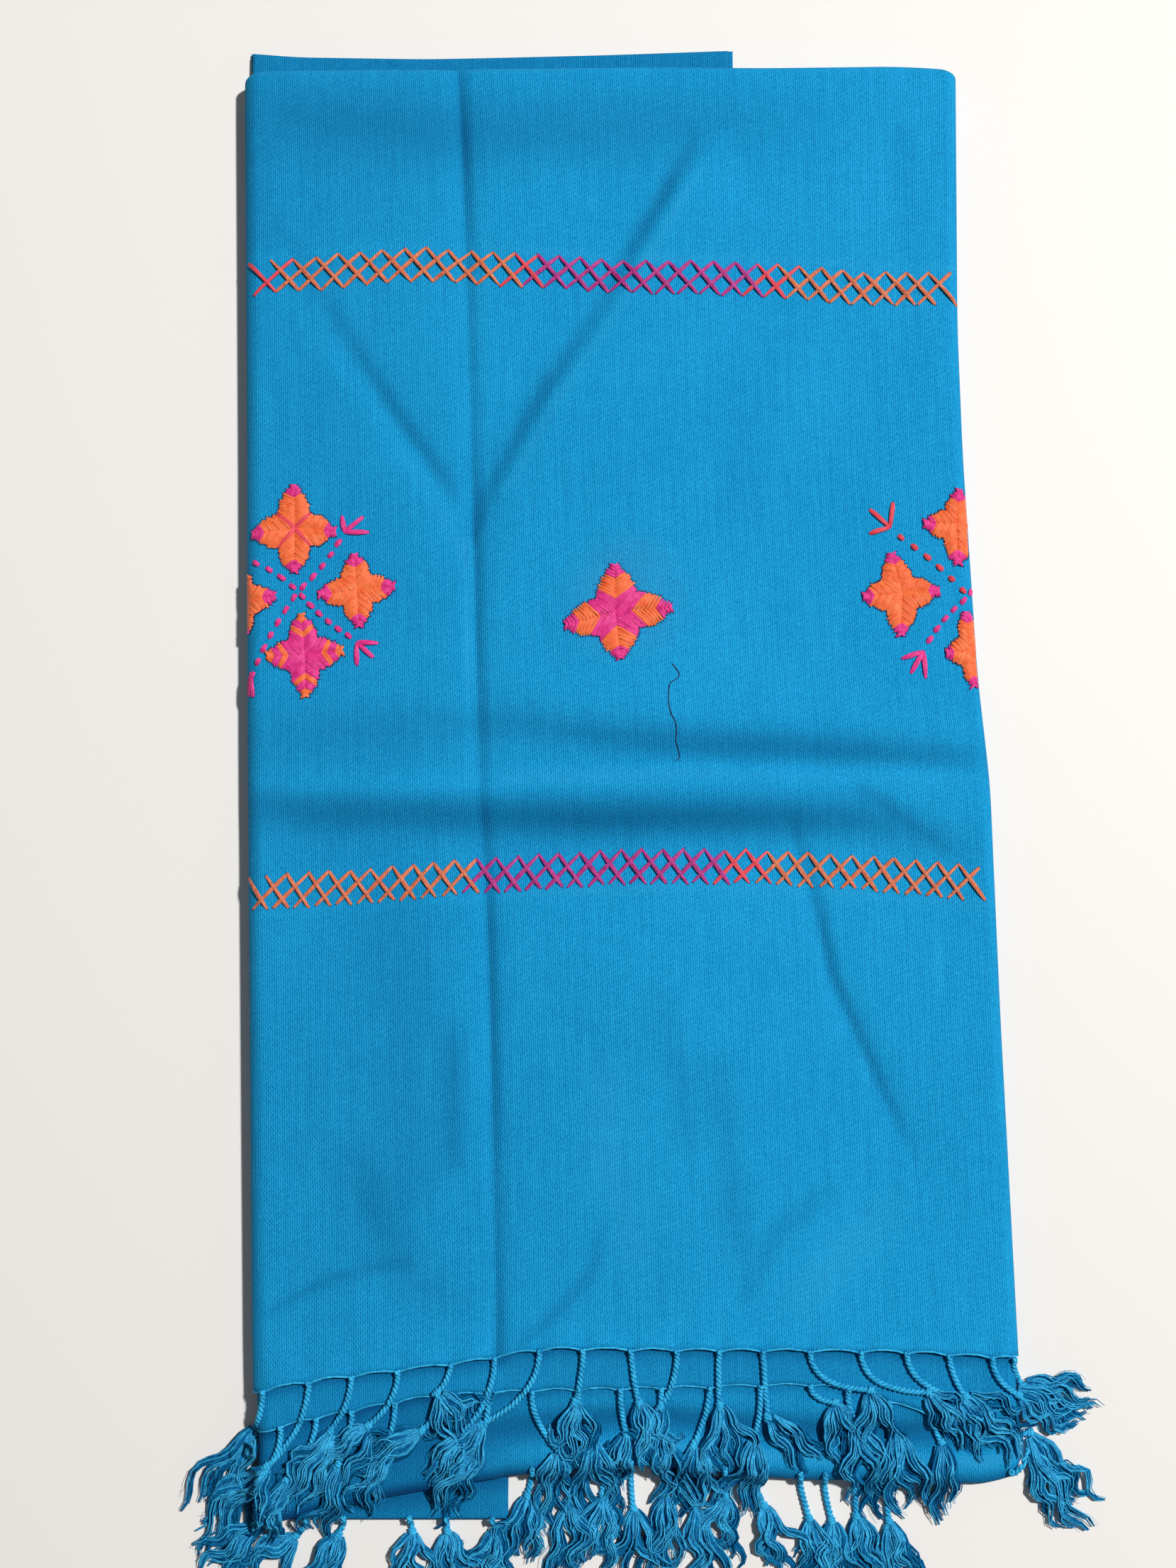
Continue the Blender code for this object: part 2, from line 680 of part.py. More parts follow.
def main():
    for old in list(bpy.data.objects):
        bpy.data.objects.remove(old, do_unlink=True)
    top_rows = [Row(share) for share in ROWS] + [Row(1.0, angle) for angle in ROLL_ANGLES]
    wrap_layer("top_layer", top_rows, 0.0, NOSE_ANGLES, True, TOP_COLOR)
    second_rows = [Row(line=HEM_SECOND), Row(line=HEM_TOP, shift=BEHIND_TOP_HEM)]
    second_rows += [Row(share) for share in ROWS if share <= SECOND_LENGTH]
    wrap_layer("second_layer", second_rows, LAYER, NOSE_ANGLES[1:], False, SECOND_COLOR)
    make_core()
    make_flap()
    make_fringe("fringe_top", hem_line(Row(0.0), 0.0), TOP_TASSELS, CORE_LIFT)
    make_fringe("fringe_second", hem_line(Row(line=HEM_SECOND), LAYER), SECOND_TASSELS, 0.0)
    foot = TIP_CLEAR + STRIP
    tongue_foot = [(x, TONGUE_END, foot) for x in (TONGUE_LEFT, flap_side(TONGUE_END, CREASE))]
    make_fringe("fringe_under_left", tongue_foot, LEFT_UNDER_TASSELS, None)
    core_foot = [(x, y, foot) for x, y, _ in Row(line=CORE_END).top(0.0)]
    make_fringe("fringe_under_right", core_foot, RIGHT_UNDER_TASSELS, None)
    stand_on_middle()


main()
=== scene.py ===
import random
from math import atan2, cos, exp, hypot, pi, radians, sin, sqrt, tanh

import bmesh
import bpy
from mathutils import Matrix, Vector, noise


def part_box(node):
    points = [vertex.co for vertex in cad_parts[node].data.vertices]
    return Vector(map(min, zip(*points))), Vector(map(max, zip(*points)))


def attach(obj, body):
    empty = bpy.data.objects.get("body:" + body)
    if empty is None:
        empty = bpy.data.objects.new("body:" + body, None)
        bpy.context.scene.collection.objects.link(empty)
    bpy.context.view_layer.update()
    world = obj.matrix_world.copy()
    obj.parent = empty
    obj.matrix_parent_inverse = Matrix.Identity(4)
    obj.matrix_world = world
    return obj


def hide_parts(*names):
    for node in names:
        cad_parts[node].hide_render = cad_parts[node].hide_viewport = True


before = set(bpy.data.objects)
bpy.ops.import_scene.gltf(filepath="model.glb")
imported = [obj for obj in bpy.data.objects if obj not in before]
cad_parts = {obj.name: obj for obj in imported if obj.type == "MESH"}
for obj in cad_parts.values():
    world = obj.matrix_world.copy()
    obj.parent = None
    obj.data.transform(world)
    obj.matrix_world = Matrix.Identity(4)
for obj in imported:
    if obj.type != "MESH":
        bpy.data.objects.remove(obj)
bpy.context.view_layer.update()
mm = 0.001

# The shawl is drawn in millimetres round the middle of the picture, and moved to the frame's own origin.
flapLow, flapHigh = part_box("under_flap")
shiftX = flapLow.x / mm + 140.5
shiftY = flapHigh.y / mm - 305.0


def place(x, y, z):
    return Vector(((x + shiftX) * mm, (y + shiftY) * mm, z * mm))


# Edges are (y, x) for the two sides and (x, y) for the ends and hems.
packet = {
    "leftEdge": [(-300, -131), (-225, -133.5), (15, -138), (135, -139.5), (285, -142)],
    "rightEdge": [(-290, 174), (-219, 171), (-95, 166), (0, 163), (43, 158.5), (135, 153.5), (188, 152),
                  (300, 152.5)],
    "farEnd": [(-145, 293.5), (-38, 294.7), (60, 296), (130, 297.5), (155, 295.5)],
    "topHem": [(-135, -242), (-112, -237), (-74, -232.5), (-37, -228), (-19, -224), (126, -226), (175, -229)],
    "secondHem": [(-135, -258), (-110, -252), (-64, -243), (-14, -240.5), (93, -239), (115, -243.5),
                  (137, -252.5), (175, -254)],
    "nearFold": [(-135, -297), (-113, -290.5), (-77, -283), (-35, -276), (23, -271.5), (80, -277.5),
                 (123, -278.5), (164, -279.5), (175, -273)],
    "stackLeft": 16.0, "stackRight": 12.0, "stepDown": (0.54, 0.84), "margin": (0.01, 0.05),
    "swell": [(62, 90, 3.1, 0.85), (21, 34, 8.7, 0.26)], "layer": 1.5, "cloth": 0.9, "nose": 7.0, "cap": 5.0,
    "roll": 4.0,
}


def readAlong(table, at):
    if at <= table[0][0]:
        return table[0][1]
    for (low, first), (high, last) in zip(table, table[1:]):
        if at <= high:
            return first + (last - first) * (at - low) / (high - low)
    return table[-1][1]


def smoothAlong(table, at, reach=9.0):
    return sum(readAlong(table, at + reach * step / 2) for step in (-2, -1, 0, 1, 2)) / 5


def foldAt(x):
    return smoothAlong(packet["nearFold"], x)


def farEdgeAt(x):
    return smoothAlong(packet["farEnd"], x)


def ease(low, high, value):
    share = min(max((value - low) / (high - low), 0.0), 1.0)
    return share * share * (3 - 2 * share)


def hill(away, wide):
    return exp(-(away / wide) ** 2)


def drift(x, y, z):
    return noise.noise(Vector((x, y, z)))


# Creases: each has its path, drawn down or to the right as (x, y, strength), its relief and its tone. East or far
# across it is above 0. A valley has a depth and its reach below and above 0. A fall has a height, with the far or
# east side high, its steepness and its reach. A tone is painted into the colour: a darker band of painted shade,
# or below 0 a lighter one, mostly painted light, and has a strength, a place across the path and a width.
creases = [
    ([(-54, 300, 0.6), (-52.8, 282, 0.9), (-51.4, 255, 1.1), (-50, 221, 0.75), (-48.6, 186, 0.6), (-47.4, 142, 0.6),
      (-46.6, 113, 0.85), (-46, 94, 1.0), (-45.2, 60, 0.9), (-44.3, 31, 0.75), (-43.3, -7, 0.5), (-41.7, -31, 0.7),
      (-40.2, -59, 1.1), (-39, -97, 1.05), (-38.1, -129, 1.0), (-37.4, -157, 0.75), (-36.9, -181, 0.65),
      (-36.6, -204, 0.75), (-36.5, -230, 0.9)], ("valley", 2.0, 5.2, 4.0), (0.32, 1.9, 2.6)),
    ([(49.6, 269, 0.0), (43, 258, 0.5), (35.3, 243.9, 1.2), (24, 224, 1.1), (6.5, 191.5, 0.55), (-5, 174, 0.8),
      (-16, 158.9, 1.1), (-35, 123.3, 0.95), (-44, 103, 0.4)], ("fall", 1.3, 2.8, 24.0), (0.34, -2.6, 3.6)),
    ([(-136, 236, 0.1), (-119, 211, 0.25), (-102.2, 184.8, 0.5), (-90, 166, 0.85), (-79.7, 149.3, 1.1),
      (-62, 125, 1.05), (-54, 112, 0.2)], ("valley", 1.5, 10.0, 5.0), (0.3, 2.6, 3.4)),
    ([(-131, 19, 0.5), (-90, 20, 0.8), (-46, 22, 0.8), (-30, 24, 0.5)], (), (0.2, 0.0, 10.0)),
    ([(-43, 24, 0.3), (-22, 22, 0.6), (12, 17.5, 0.95), (45, 15, 1.15), (92, 13, 1.15), (140, 10, 0.9),
      (160, 8, 0.5)], ("fall", 1.5, 5.0, 30.0), (0.34, 0.5, 7.5)),
    ([(-131, -1, 0.6), (-43, -1, 1.0), (45, 3, 1.0), (156, 3, 0.8)], ("fall", -1.5, 3.8, 14.0), (-0.14, 0.0, 4.5)),
    ([(-131, -12, 0.55), (-45, -14, 0.85), (-3, -15, 1.15), (68, -14.5, 1.1), (112, -15, 0.75), (150, -25, 0.3)],
     ("fall", 2.7, 6.6, 36.0), (0.46, 0.0, 9.5)),
    ([(108, -2, 0.5), (118, -9, 1.0), (142, -27, 0.6)], ("valley", 0.9, 4.0, 4.0), (0.22, 0.8, 3.0)),
    ([(81.8, -16.7, 0.3), (88, -36, 0.7), (93.2, -56.2, 1.0), (97.8, -78.2, 1.15), (108, -102, 1.1),
      (118.6, -126, 0.9), (129.4, -149.8, 0.3)], ("valley", 1.8, 6.0, 3.6), (0.4, 0.9, 2.2)),
    ([(-54, -98, 0.4), (-53.5, -116, 1.0), (-53.3, -152, 0.8)], (), (0.3, 0.0, 4.5)),
    ([(-92, -150, 0.6), (-82, -176, 1.0), (-68, -199, 1.0), (-52, -206, 0.5)], (), (0.2, 0.0, 9.0)),
    ([(-125, -210, 0.7), (-106, -199, 1.0), (-88, -194, 0.9), (-71.7, -190.9, 0.5)],
     ("valley", 1.0, 4.0, 4.5), (0.26, 0.0, 2.6)),
    ([(7, -172, 0.3), (1.8, -192.9, 0.9), (-8, -206, 1.0), (-26.2, -222.4, 0.9)],
     ("valley", 1.0, 4.5, 4.0), (0.26, 0.0, 2.8)),
    ([(96, -162, 0.5), (77, -178, 1.0), (63, -202, 0.7)], ("valley", 0.6, 5.0, 6.0), (0.2, 0.0, 5.0)),
    ([(29, -86, 0.4), (37, -112, 1.0), (39, -142, 0.9)], (), (0.19, 0.0, 6.0)),
    ([(51, -112, 0.6), (60, -186, 1.0)], ("valley", 0.5, 9.0, 7.0), (0.2, 0.0, 6.0)),
    ([(-139, 278, 0.8), (-100, 271, 1.0), (-51, 267, 1.0), (-3, 268, 0.9), (60, 273, 0.6), (112, 275, 0.1)],
     (), (0.3, 0.0, 17.0)),
    ([(-138, 256, 0.6), (-133, 226, 0.5)], (), (0.24, 0.0, 10.0)),
    ([(130, 268, 0.8), (133, 215, 0.8), (136, 170, 0.3)], (), (0.14, 0.0, 5.0)),
    ([(-74, -54, 0.7), (-69, -106, 1.0), (-73, -160, 1.0)], (), (0.15, 0.0, 15.0)),
    ([(-104, 250, 1.0), (-104, 60, 1.0), (-104, -230, 0.8)], (), (0.11, 0.0, 46.0)),
    ([(62, 150, 0.7), (64, 112, 0.9)], (), (0.1, 0.0, 13.0)),
    # lighter bands of painted light on the flanks of the creases that face the lamp, then two broader lighter
    # patches
    ([(56, 268, 0.5), (38, 243, 1.0), (22, 214, 0.9), (8, 190, 0.5), (-14, 158, 0.8), (-34, 122, 0.7)],
     (), (-0.14, 2.2, 2.4)),
    ([(-122, 198, 0.5), (-92, 160, 0.9), (-66, 120, 1.0), (-53, 95, 0.8)], (), (-0.12, 0.0, 4.5)),
    ([(-49, 116, 0.7), (-48, 60, 1.0), (-46.5, 8, 0.8)], (), (-0.14, -0.5, 2.2)),
    ([(84, -206, 0.6), (102, -188, 1.0), (118, -172, 0.5)], (), (-0.12, 0.0, 9.0)),
    ([(8, -118, 0.7), (8, -150, 1.0), (18, -186, 0.7)], (), (-0.08, 0.0, 8.0)),
    # two pale chalk lines, along the upper band's far border and the lower band's near border
    ([(-139, 214, 0.7), (-84, 220, 1.0), (-48, 219, 1.0), (23, 214, 1.0), (87, 214, 1.0), (151, 211, 0.8)],
     (), (-0.1, 0.0, 1.6)),
    ([(-136, -54, 0.7), (-54, -47, 1.0), (16, -43, 1.0), (79, -43, 1.0), (161, -50, 0.8)], (), (-0.1, 0.0, 1.6)),
]


def creaseBox(path, relief, tone):
    # the part of the cloth that a crease changes
    reach = 2.6 * max(*relief[2:], tone[2], 0.0)
    columns, rows, _ = zip(*path)
    return min(columns) - reach, max(columns) + reach, min(rows) - reach, max(rows) + reach


creases = [(*crease, creaseBox(*crease)) for crease in creases]


def acrossPath(x, y, path):
    # how far a place lies from a path, above 0 on its left side, and the path's strength there
    best = None
    for (x0, y0, first), (x1, y1, last) in zip(path, path[1:]):
        runX, runY = x1 - x0, y1 - y0
        share = ((x - x0) * runX + (y - y0) * runY) / (runX * runX + runY * runY)
        inside = min(max(share, 0.0), 1.0)
        awayX, awayY = x - x0 - runX * inside, y - y0 - runY * inside
        away = hypot(awayX, awayY)
        if best is None or away < best[0]:
            best = (away, 1 if runX * awayY > runY * awayX else -1, first + (last - first) * inside)
    return best[0] * best[1], best[2]


def creaseAt(x, y):
    # the height that the creases give to one place, and the painted shade and light there
    height, shade = 0.0, 0.0
    for path, relief, (tone, at, wide), (west, east, near, far) in creases:
        if not (west < x < east and near < y < far):
            continue
        across, strength = acrossPath(x, y, path)
        if relief:
            kind, amount, low, high = relief
            if kind == "valley":
                height -= strength * amount * exp(-abs(across) / (high if across > 0 else low))
            else:
                height += strength * amount * tanh(across / low) * hill(across, high)
        shade += strength * tone * hill(across - at, wide)
    return height, shade


def softSwell(x, y):
    return sum(height * drift(x / wide, y / long, seed) for wide, long, seed, height in packet["swell"])


def sides(y):
    return smoothAlong(packet["leftEdge"], y), smoothAlong(packet["rightEdge"], y)


def flatSpan(y):
    # where the left fold passes into the upper face, and where the right fold starts
    left, right = sides(y)
    return left + packet["nose"], right - packet["cap"]


def stackHeight(x, y):
    low, high = flatSpan(y)
    across = (x - low) / (high - low)
    base = packet["stackLeft"] + (packet["stackRight"] - packet["stackLeft"]) * ease(*packet["stepDown"], across)
    beyond, within = packet["margin"]
    inner = ease(-beyond, within, across) * ease(1 + beyond, 1 - within, across)
    return base + (creaseAt(x, y)[0] + softSwell(x, y)) * inner


def roundedHeight(x, y, depth=0.0):
    low, high = flatSpan(y)
    height = stackHeight(x, y) - depth
    if x < low:
        share = min((low - x) / (packet["nose"] - depth), 1.0)
        return height / 2 + height / 2 * sqrt(1 - share * share)
    if x > high:
        share = min((x - high) / (packet["cap"] - depth), 1.0)
        return height - packet["cap"] * (1 - sqrt(1 - share * share))
    return height


def onCloth(x, y, lift=0.0):
    return place(x, y, roundedHeight(x, y) + lift)


def gridSpot(vert, columns, rows):
    # the column and the row of a vertex of a new grid
    return round((vert.co.x + 1) / 2 * (columns - 1)), round((vert.co.y + 1) / 2 * (rows - 1))


def layCloth(name, across, along, spot, material, shadeOf):
    # A flat grid is carried to its places, and its UV map keeps the flat cloth's metres.
    mesh = bmesh.new()
    columns, rows = len(across), len(along)
    bmesh.ops.create_grid(mesh, x_segments=columns - 1, y_segments=rows - 1, size=1.0)
    spots = [[spot(a, b) for a in across] for b in along]
    alongX = runLengths(spots[rows // 2])
    alongY = runLengths([row[columns // 2] for row in spots])
    weave = mesh.loops.layers.uv.new("weave")
    shade = mesh.verts.layers.float.new("shade")
    index = {}
    for vert in mesh.verts:
        i, j = index[vert] = gridSpot(vert, columns, rows)
        vert.co = spots[j][i]
        # each vertex keeps the painted shade, below 0 painted light, that its cloth's colour takes
        vert[shade] = shadeOf(vert.co.x / mm - shiftX, vert.co.y / mm - shiftY)
    for face in mesh.faces:
        for loop in face.loops:
            i, j = index[loop.vert]
            loop[weave].uv = (alongX[i], alongY[j])
    made = finishMesh(name, mesh, material)
    wall = made.modifiers.new("wall", "SOLIDIFY")
    wall.thickness = packet["cloth"] * mm
    wall.offset = -1.0
    return made


def runLengths(points):
    lengths = [0.0]
    for first, second in zip(points, points[1:]):
        lengths.append(lengths[-1] + (second - first).length)
    return lengths


def addObject(name, data):
    made = bpy.data.objects.new(name, data)
    bpy.context.collection.objects.link(made)
    return made


def finishMesh(name, mesh, material):
    data = bpy.data.meshes.new(name)
    mesh.to_mesh(data)
    mesh.free()
    data.shade_smooth()
    data.materials.append(material)
    made = addObject(name, data)
    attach(made, "root")
    return made


threadRadius = {}


def newThreads(name, materials, thickness, roundness=0):
    # a point's own radius is the thread's radius in metres, because the curve's depth is 1
    threadRadius[name] = thickness * mm
    curve = bpy.data.curves.new(name, "CURVE")
    curve.dimensions = "3D"
    curve.bevel_depth = 1.0
    curve.bevel_resolution = roundness
    curve.resolution_u = 1
    curve.use_fill_caps = True
    for material in materials:
        curve.materials.append(material)
    made = addObject(name, curve)
    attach(made, "root")
    return made


def addThread(threads, points, widths=None, tone=0):
    spline = threads.data.splines.new("POLY")
    spline.material_index = tone
    spline.points.add(len(points) - 1)
    spline.points.foreach_set("co", [value for point in points for value in (*point, 1.0)])
    size = threadRadius[threads.name]
    spline.points.foreach_set("radius", [size * width for width in widths or [1.0] * len(points)])
    spline.use_smooth = True


def spread(count, first=0.0, last=1.0):
    return [first + (last - first) * step / (count - 1) for step in range(count)]


# Shader sums: a wire is one output socket, and sums on it add the Math nodes.
class Wire:
    def __init__(self, tree, socket):
        self.tree = tree
        self.socket = socket

    def make(self, kind, settings=None, links=None, out=0):
        node = self.tree.nodes.new(kind)
        for key, value in (settings or {}).items():
            if key == "stops":
                for element, (at, color) in zip(node.color_ramp.elements, value):
                    element.position = at
                    element.color = (*color, 1.0)
            else:
                setattr(node, key, value)
        for key, value in (links or {}).items():
            if isinstance(value, Wire):
                self.tree.links.new(value.socket, node.inputs[key])
            else:
                node.inputs[key].default_value = value
        return Wire(self.tree, node.outputs[out])

    def into(self, shader, key):
        self.tree.links.new(self.socket, shader.inputs[key])

    def sum(self, operation, first, second=0.0):
        return self.make("ShaderNodeMath", {"operation": operation}, {0: first, 1: second})

    def __add__(self, other):
        return self.sum("ADD", self, other)

    def __sub__(self, other):
        return self.sum("SUBTRACT", self, other)

    def __rsub__(self, other):
        return self.sum("SUBTRACT", other, self)

    def __mul__(self, other):
        return self.sum("MULTIPLY", self, other)

    __radd__ = __add__
    __rmul__ = __mul__

    def wave(self):
        return self.sum("SINE", self) * 0.5 + 0.5

    def clamp(self, low, high):
        return self.make("ShaderNodeMapRange", {"clamp": True}, {"Value": self, "From Min": low, "From Max": high})

    def mix(self, first, second):
        # this wire is the share of the second colour
        links = {"Factor": self, 6: first, 7: second}
        return self.make("ShaderNodeMix", {"data_type": "RGBA"}, links, out=2)

    def stretch(self, scales):
        return self.make("ShaderNodeVectorMath", {"operation": "MULTIPLY"}, {0: self, 1: scales})

    def noise(self, scale, detail=2.0, roughness=0.5):
        return self.make("ShaderNodeTexNoise", None, {"Vector": self, "Scale": scale, "Detail": detail,
                                                      "Roughness": roughness})

    def bump(self, strength, distance):
        return self.make("ShaderNodeBump", None, {"Strength": strength, "Distance": distance, "Height": self})


def newMaterial(name, roughness, specular, sheen=0.0, sheenTint=(1, 1, 1)):
    material = bpy.data.materials.new(name)
    material.use_nodes = True
    tree = material.node_tree
    shader = tree.nodes["Principled BSDF"]
    for key, value in {"Roughness": roughness, "Metallic": 0.0, "Specular IOR Level": specular,
                       "Sheen Weight": sheen, "Sheen Roughness": 0.5, "Sheen Tint": (*sheenTint, 1.0)}.items():
        shader.inputs[key].default_value = value
    return material, shader, Wire(tree, tree.nodes.new("ShaderNodeTexCoord").outputs["Object"])


# "relief" and "tone" are the parts that the weave's height and its lightness take from each pattern.
clothLook = {
    "light": (0.016, 0.410, 0.780), "deep": (0.002, 0.195, 0.450), "stain": (0.070, 0.230, 0.430),
    # on this line: the dark colour of the painted shade, the pale colour of painted light and chalk lines, and the
    # sheen's tint
    "crease": (0.0005, 0.060, 0.190), "paintedLightAndChalk": (0.060, 0.450, 0.780), "sheenTint": (0.30, 0.75, 1.0),
    "ribPitch": 0.00088, "twillPitch": 0.00115, "twillLean": 0.62, "swayScales": (420, 900, 1),
    "crumbScales": (1150, 700, 1), "slubScales": (700, 22, 1), "broadScale": 14.0, "mottleScale": 170.0,
    "relief": {"rib": 0.42, "twill": 0.30, "crumb": 0.75},
    "tone": {"rib": 0.34, "twill": 0.16, "crumb": 0.86, "slub": 0.30, "broad": 0.20, "mottle": 0.20},
    "contrast": (0.76, 1.32), "stainAt": (16, 74, 16), "stainReach": (0.006, 0.030), "stainShare": 0.42,
    "bump": 0.00036,
}


def weaveMaterial(name, dimmed=1.0, stained=False):
    look = clothLook
    material, shader, here = newMaterial(name, 0.84, 0.06, 0.04, look["sheenTint"])
    flat = here.make("ShaderNodeUVMap", {"uv_map": "weave"})
    across = here.make("ShaderNodeSeparateXYZ", None, {0: flat})
    along = Wire(across.tree, across.socket.node.outputs[1])
    sway = flat.stretch(look["swayScales"]).noise(1.0, 1.0)
    twillWay = across + along * look["twillLean"]
    patterns = {
        "rib": (across * (2 * pi / look["ribPitch"]) + sway * 5.0).wave(),
        "twill": (twillWay * (2 * pi / look["twillPitch"]) + sway * 4.0).wave(),
        "crumb": flat.stretch(look["crumbScales"]).noise(1.0, 3.0, 0.65),
        "slub": flat.stretch(look["slubScales"]).noise(1.0),
        "broad": here.noise(look["broadScale"]),
        "mottle": here.noise(look["mottleScale"], 3.0, 0.6),
    }
    height, tone = (sum(patterns[key] * part for key, part in look[use].items()) for use in ("relief", "tone"))
    stops = [(at, tuple(value * dimmed for value in look[key])) for at, key in ((0.0, "deep"), (1.0, "light"))]
    color = here.make("ShaderNodeValToRGB", {"stops": stops}, {"Fac": tone.clamp(*look["contrast"])})
    if stained:
        links = {0: here, 1: tuple(place(*look["stainAt"]))}
        away = here.make("ShaderNodeVectorMath", {"operation": "DISTANCE"}, links, out=1)
        mask = (1.0 - away.clamp(*look["stainReach"])) * here.noise(45.0) * look["stainShare"]
        color = mask.mix(color, (*look["stain"], 1.0))
    # the "shade" attribute paints shade towards the dark colour and, below 0, light and chalk lines towards the pale
    # one
    shade = here.make("ShaderNodeAttribute", {"attribute_name": "shade"}, out="Fac")
    color = shade.clamp(0.0, 1.0).mix(color, (*look["crease"], 1.0))
    color = (shade * -1.0).clamp(0.0, 1.0).mix(color, (*look["paintedLightAndChalk"], 1.0))
    color.into(shader, "Base Color")
    (patterns["crumb"] * 0.16 + 0.74).into(shader, "Roughness")
    height.bump(0.75, look["bump"]).into(shader, "Normal")
    return material


def yarnMaterial(name, deep, light, roughness, grain, sheen, patch, shine):
    material, shader, here = newMaterial(name, roughness, shine, sheen, light)
    fine = here.noise(grain, 2.0, 0.6)
    share = (fine * 0.75 + here.noise(patch) * 0.65).clamp(0.42, 0.98)
    share.mix((*deep, 1.0), (*light, 1.0)).into(shader, "Base Color")
    fine.bump(0.5, 0.0002).into(shader, "Normal")
    return material


clothTop = weaveMaterial("ribbed wool, upper face", stained=True)
# the lower layers are the same wool made a little darker: painted shade
clothUnder = weaveMaterial("ribbed wool, lower layers", dimmed=0.94)

# Yarns: name, deep and light colour, roughness, scale of the grain, sheen, scale of the patches, and shine
yarns = [
    ("fringe yarn", (0.006, 0.230, 0.500), (0.060, 0.610, 0.950), 0.75, 1100, 0.10, 210, 0.12),
    ("fringe yarn of the tufts", (0.002, 0.140, 0.370), (0.070, 0.600, 0.940), 0.75, 1100, 0.10, 210, 0.10),
    # a darker copy of the tufts' yarn for yarns deep in a lock: painted shade
    ("fringe yarn inside the tufts", (0.001, 0.060, 0.190), (0.006, 0.210, 0.450), 0.8, 1100, 0.05, 260, 0.05),
    ("orange floss", (0.84, 0.090, 0.018), (1.0, 0.290, 0.105), 0.42, 1400, 0.15, 420, 0.3),
    ("orange floss of the bands", (0.46, 0.080, 0.040), (0.90, 0.300, 0.150), 0.45, 1400, 0.15, 420, 0.3),
    ("magenta floss", (0.58, 0.009, 0.160), (0.98, 0.080, 0.400), 0.42, 1400, 0.15, 420, 0.3),
    ("magenta floss of the bands", (0.28, 0.008, 0.120), (0.66, 0.070, 0.380), 0.45, 1400, 0.15, 420, 0.3),
    ("red floss", (0.62, 0.035, 0.060), (0.93, 0.110, 0.150), 0.42, 1400, 0.15, 260, 0.3),
    # dark thread for the thread ends and the stray thread, also used as painted shadow round the stars
    ("dark thread ends and painted star shadow", (0.010, 0.012, 0.050), (0.030, 0.050, 0.150), 0.7, 900, 0.2, 120, 0.3),
]
(fringeYarn, tuftYarn, innerShadedYarn, orangeFloss, bandFloss, magentaFloss, bandPink, redFloss,
 darkThreadAndShadow) = [yarnMaterial(*yarn) for yarn in yarns]
print("materials made")


# The uppermost layer: lip under the packet, big fold on the left, upper face, and fold on the right.
# The long middle crease keeps one column of the grid, at the share "middleCrease" of the upper face.
topLayer = {
    "rows": 236, "rollStep": 12, "rollEnd": 170, "lift": 1.7, "middleCrease": 0.315, "fineWithin": 0.026,
    "fine": 0.0030, "coarse": 0.0074, "lip": (28, 24, 20, 16, 12, 9), "curlIn": 1.7, "curlDown": 1.4,
}


def creaseShare(y):
    low, high = flatSpan(y)
    return (readAlong([(row, column) for column, row, _ in reversed(creases[0][0])], y) - low) / (high - low)


def topShares():
    wanted = topLayer["middleCrease"]
    shares = [0.0]
    while shares[-1] < 1.0:
        near = abs(shares[-1] - wanted) < topLayer["fineWithin"]
        shares.append(shares[-1] + topLayer["fine" if near else "coarse"])
    nearest = min(range(len(shares)), key=lambda index: abs(shares[index] - wanted))
    shares[nearest] = wanted
    return [min(share, 1.0) for share in shares]


def sectionStations(lip, lowest):
    stations = [("lip", reach) for reach in lip]
    stations += [("nose", angle) for angle in range(lowest, 90, 10)]
    stations += [("top", share) for share in topShares()]
    stations += [("cap", angle) for angle in range(10, 91, 10)]
    return stations + [("curl", angle) for angle in range(20, 121, 20)]


def layerSpot(station, rowAt, roll, depth):
    # one place of a layer that lies "depth" below the uppermost one, turned over the far end by the angle "roll"
    kind, value = station
    turn = radians(roll)
    inset = packet["roll"] - (packet["roll"] - depth) * cos(turn)
    push = (packet["roll"] - depth) * sin(turn)
    tuck = packet["roll"] * (1 - cos(min(turn, pi / 2)))
    nose, cap = packet["nose"], packet["cap"]
    left, right = sides(rowAt(-135 if kind in ("lip", "nose") else 150) + push)
    low, high = left + tuck + nose, right - tuck - cap
    if kind == "lip":
        x = left + tuck + value
        return place(x, rowAt(x) + push, inset + 0.05)
    if kind == "nose":
        angle = radians(value)
        x = low - max(nose - inset, 0.5) * cos(angle)
        y = rowAt(x) + push
        upper = stackHeight(low, y) - inset
        lower = min(inset, upper)
        return place(x, y, (upper + lower) / 2 + (upper - lower) / 2 * sin(angle))
    if kind == "top":
        middle = topLayer["middleCrease"]
        bend = value / middle if value < middle else (1 - value) / (1 - middle)
        share = value + (creaseShare(rowAt(0)) - middle) * bend
        x = low + share * (high - low)
        y = rowAt(x) + push
        return place(x, y, stackHeight(x, y) - inset)
    y = rowAt(high) + push
    upper = stackHeight(high, y) - inset
    reach = max(cap - inset, 0.6)
    drop = cap * (reach / cap) ** 0.5
    angle = radians(value)
    if kind == "cap":
        return place(high + reach * sin(angle), y, upper - drop * (1 - cos(angle)))
    x = high + reach - topLayer["curlIn"] * (1 - cos(angle))
    return place(x, y, max(upper - drop - topLayer["curlDown"] * sin(angle), 0.3))


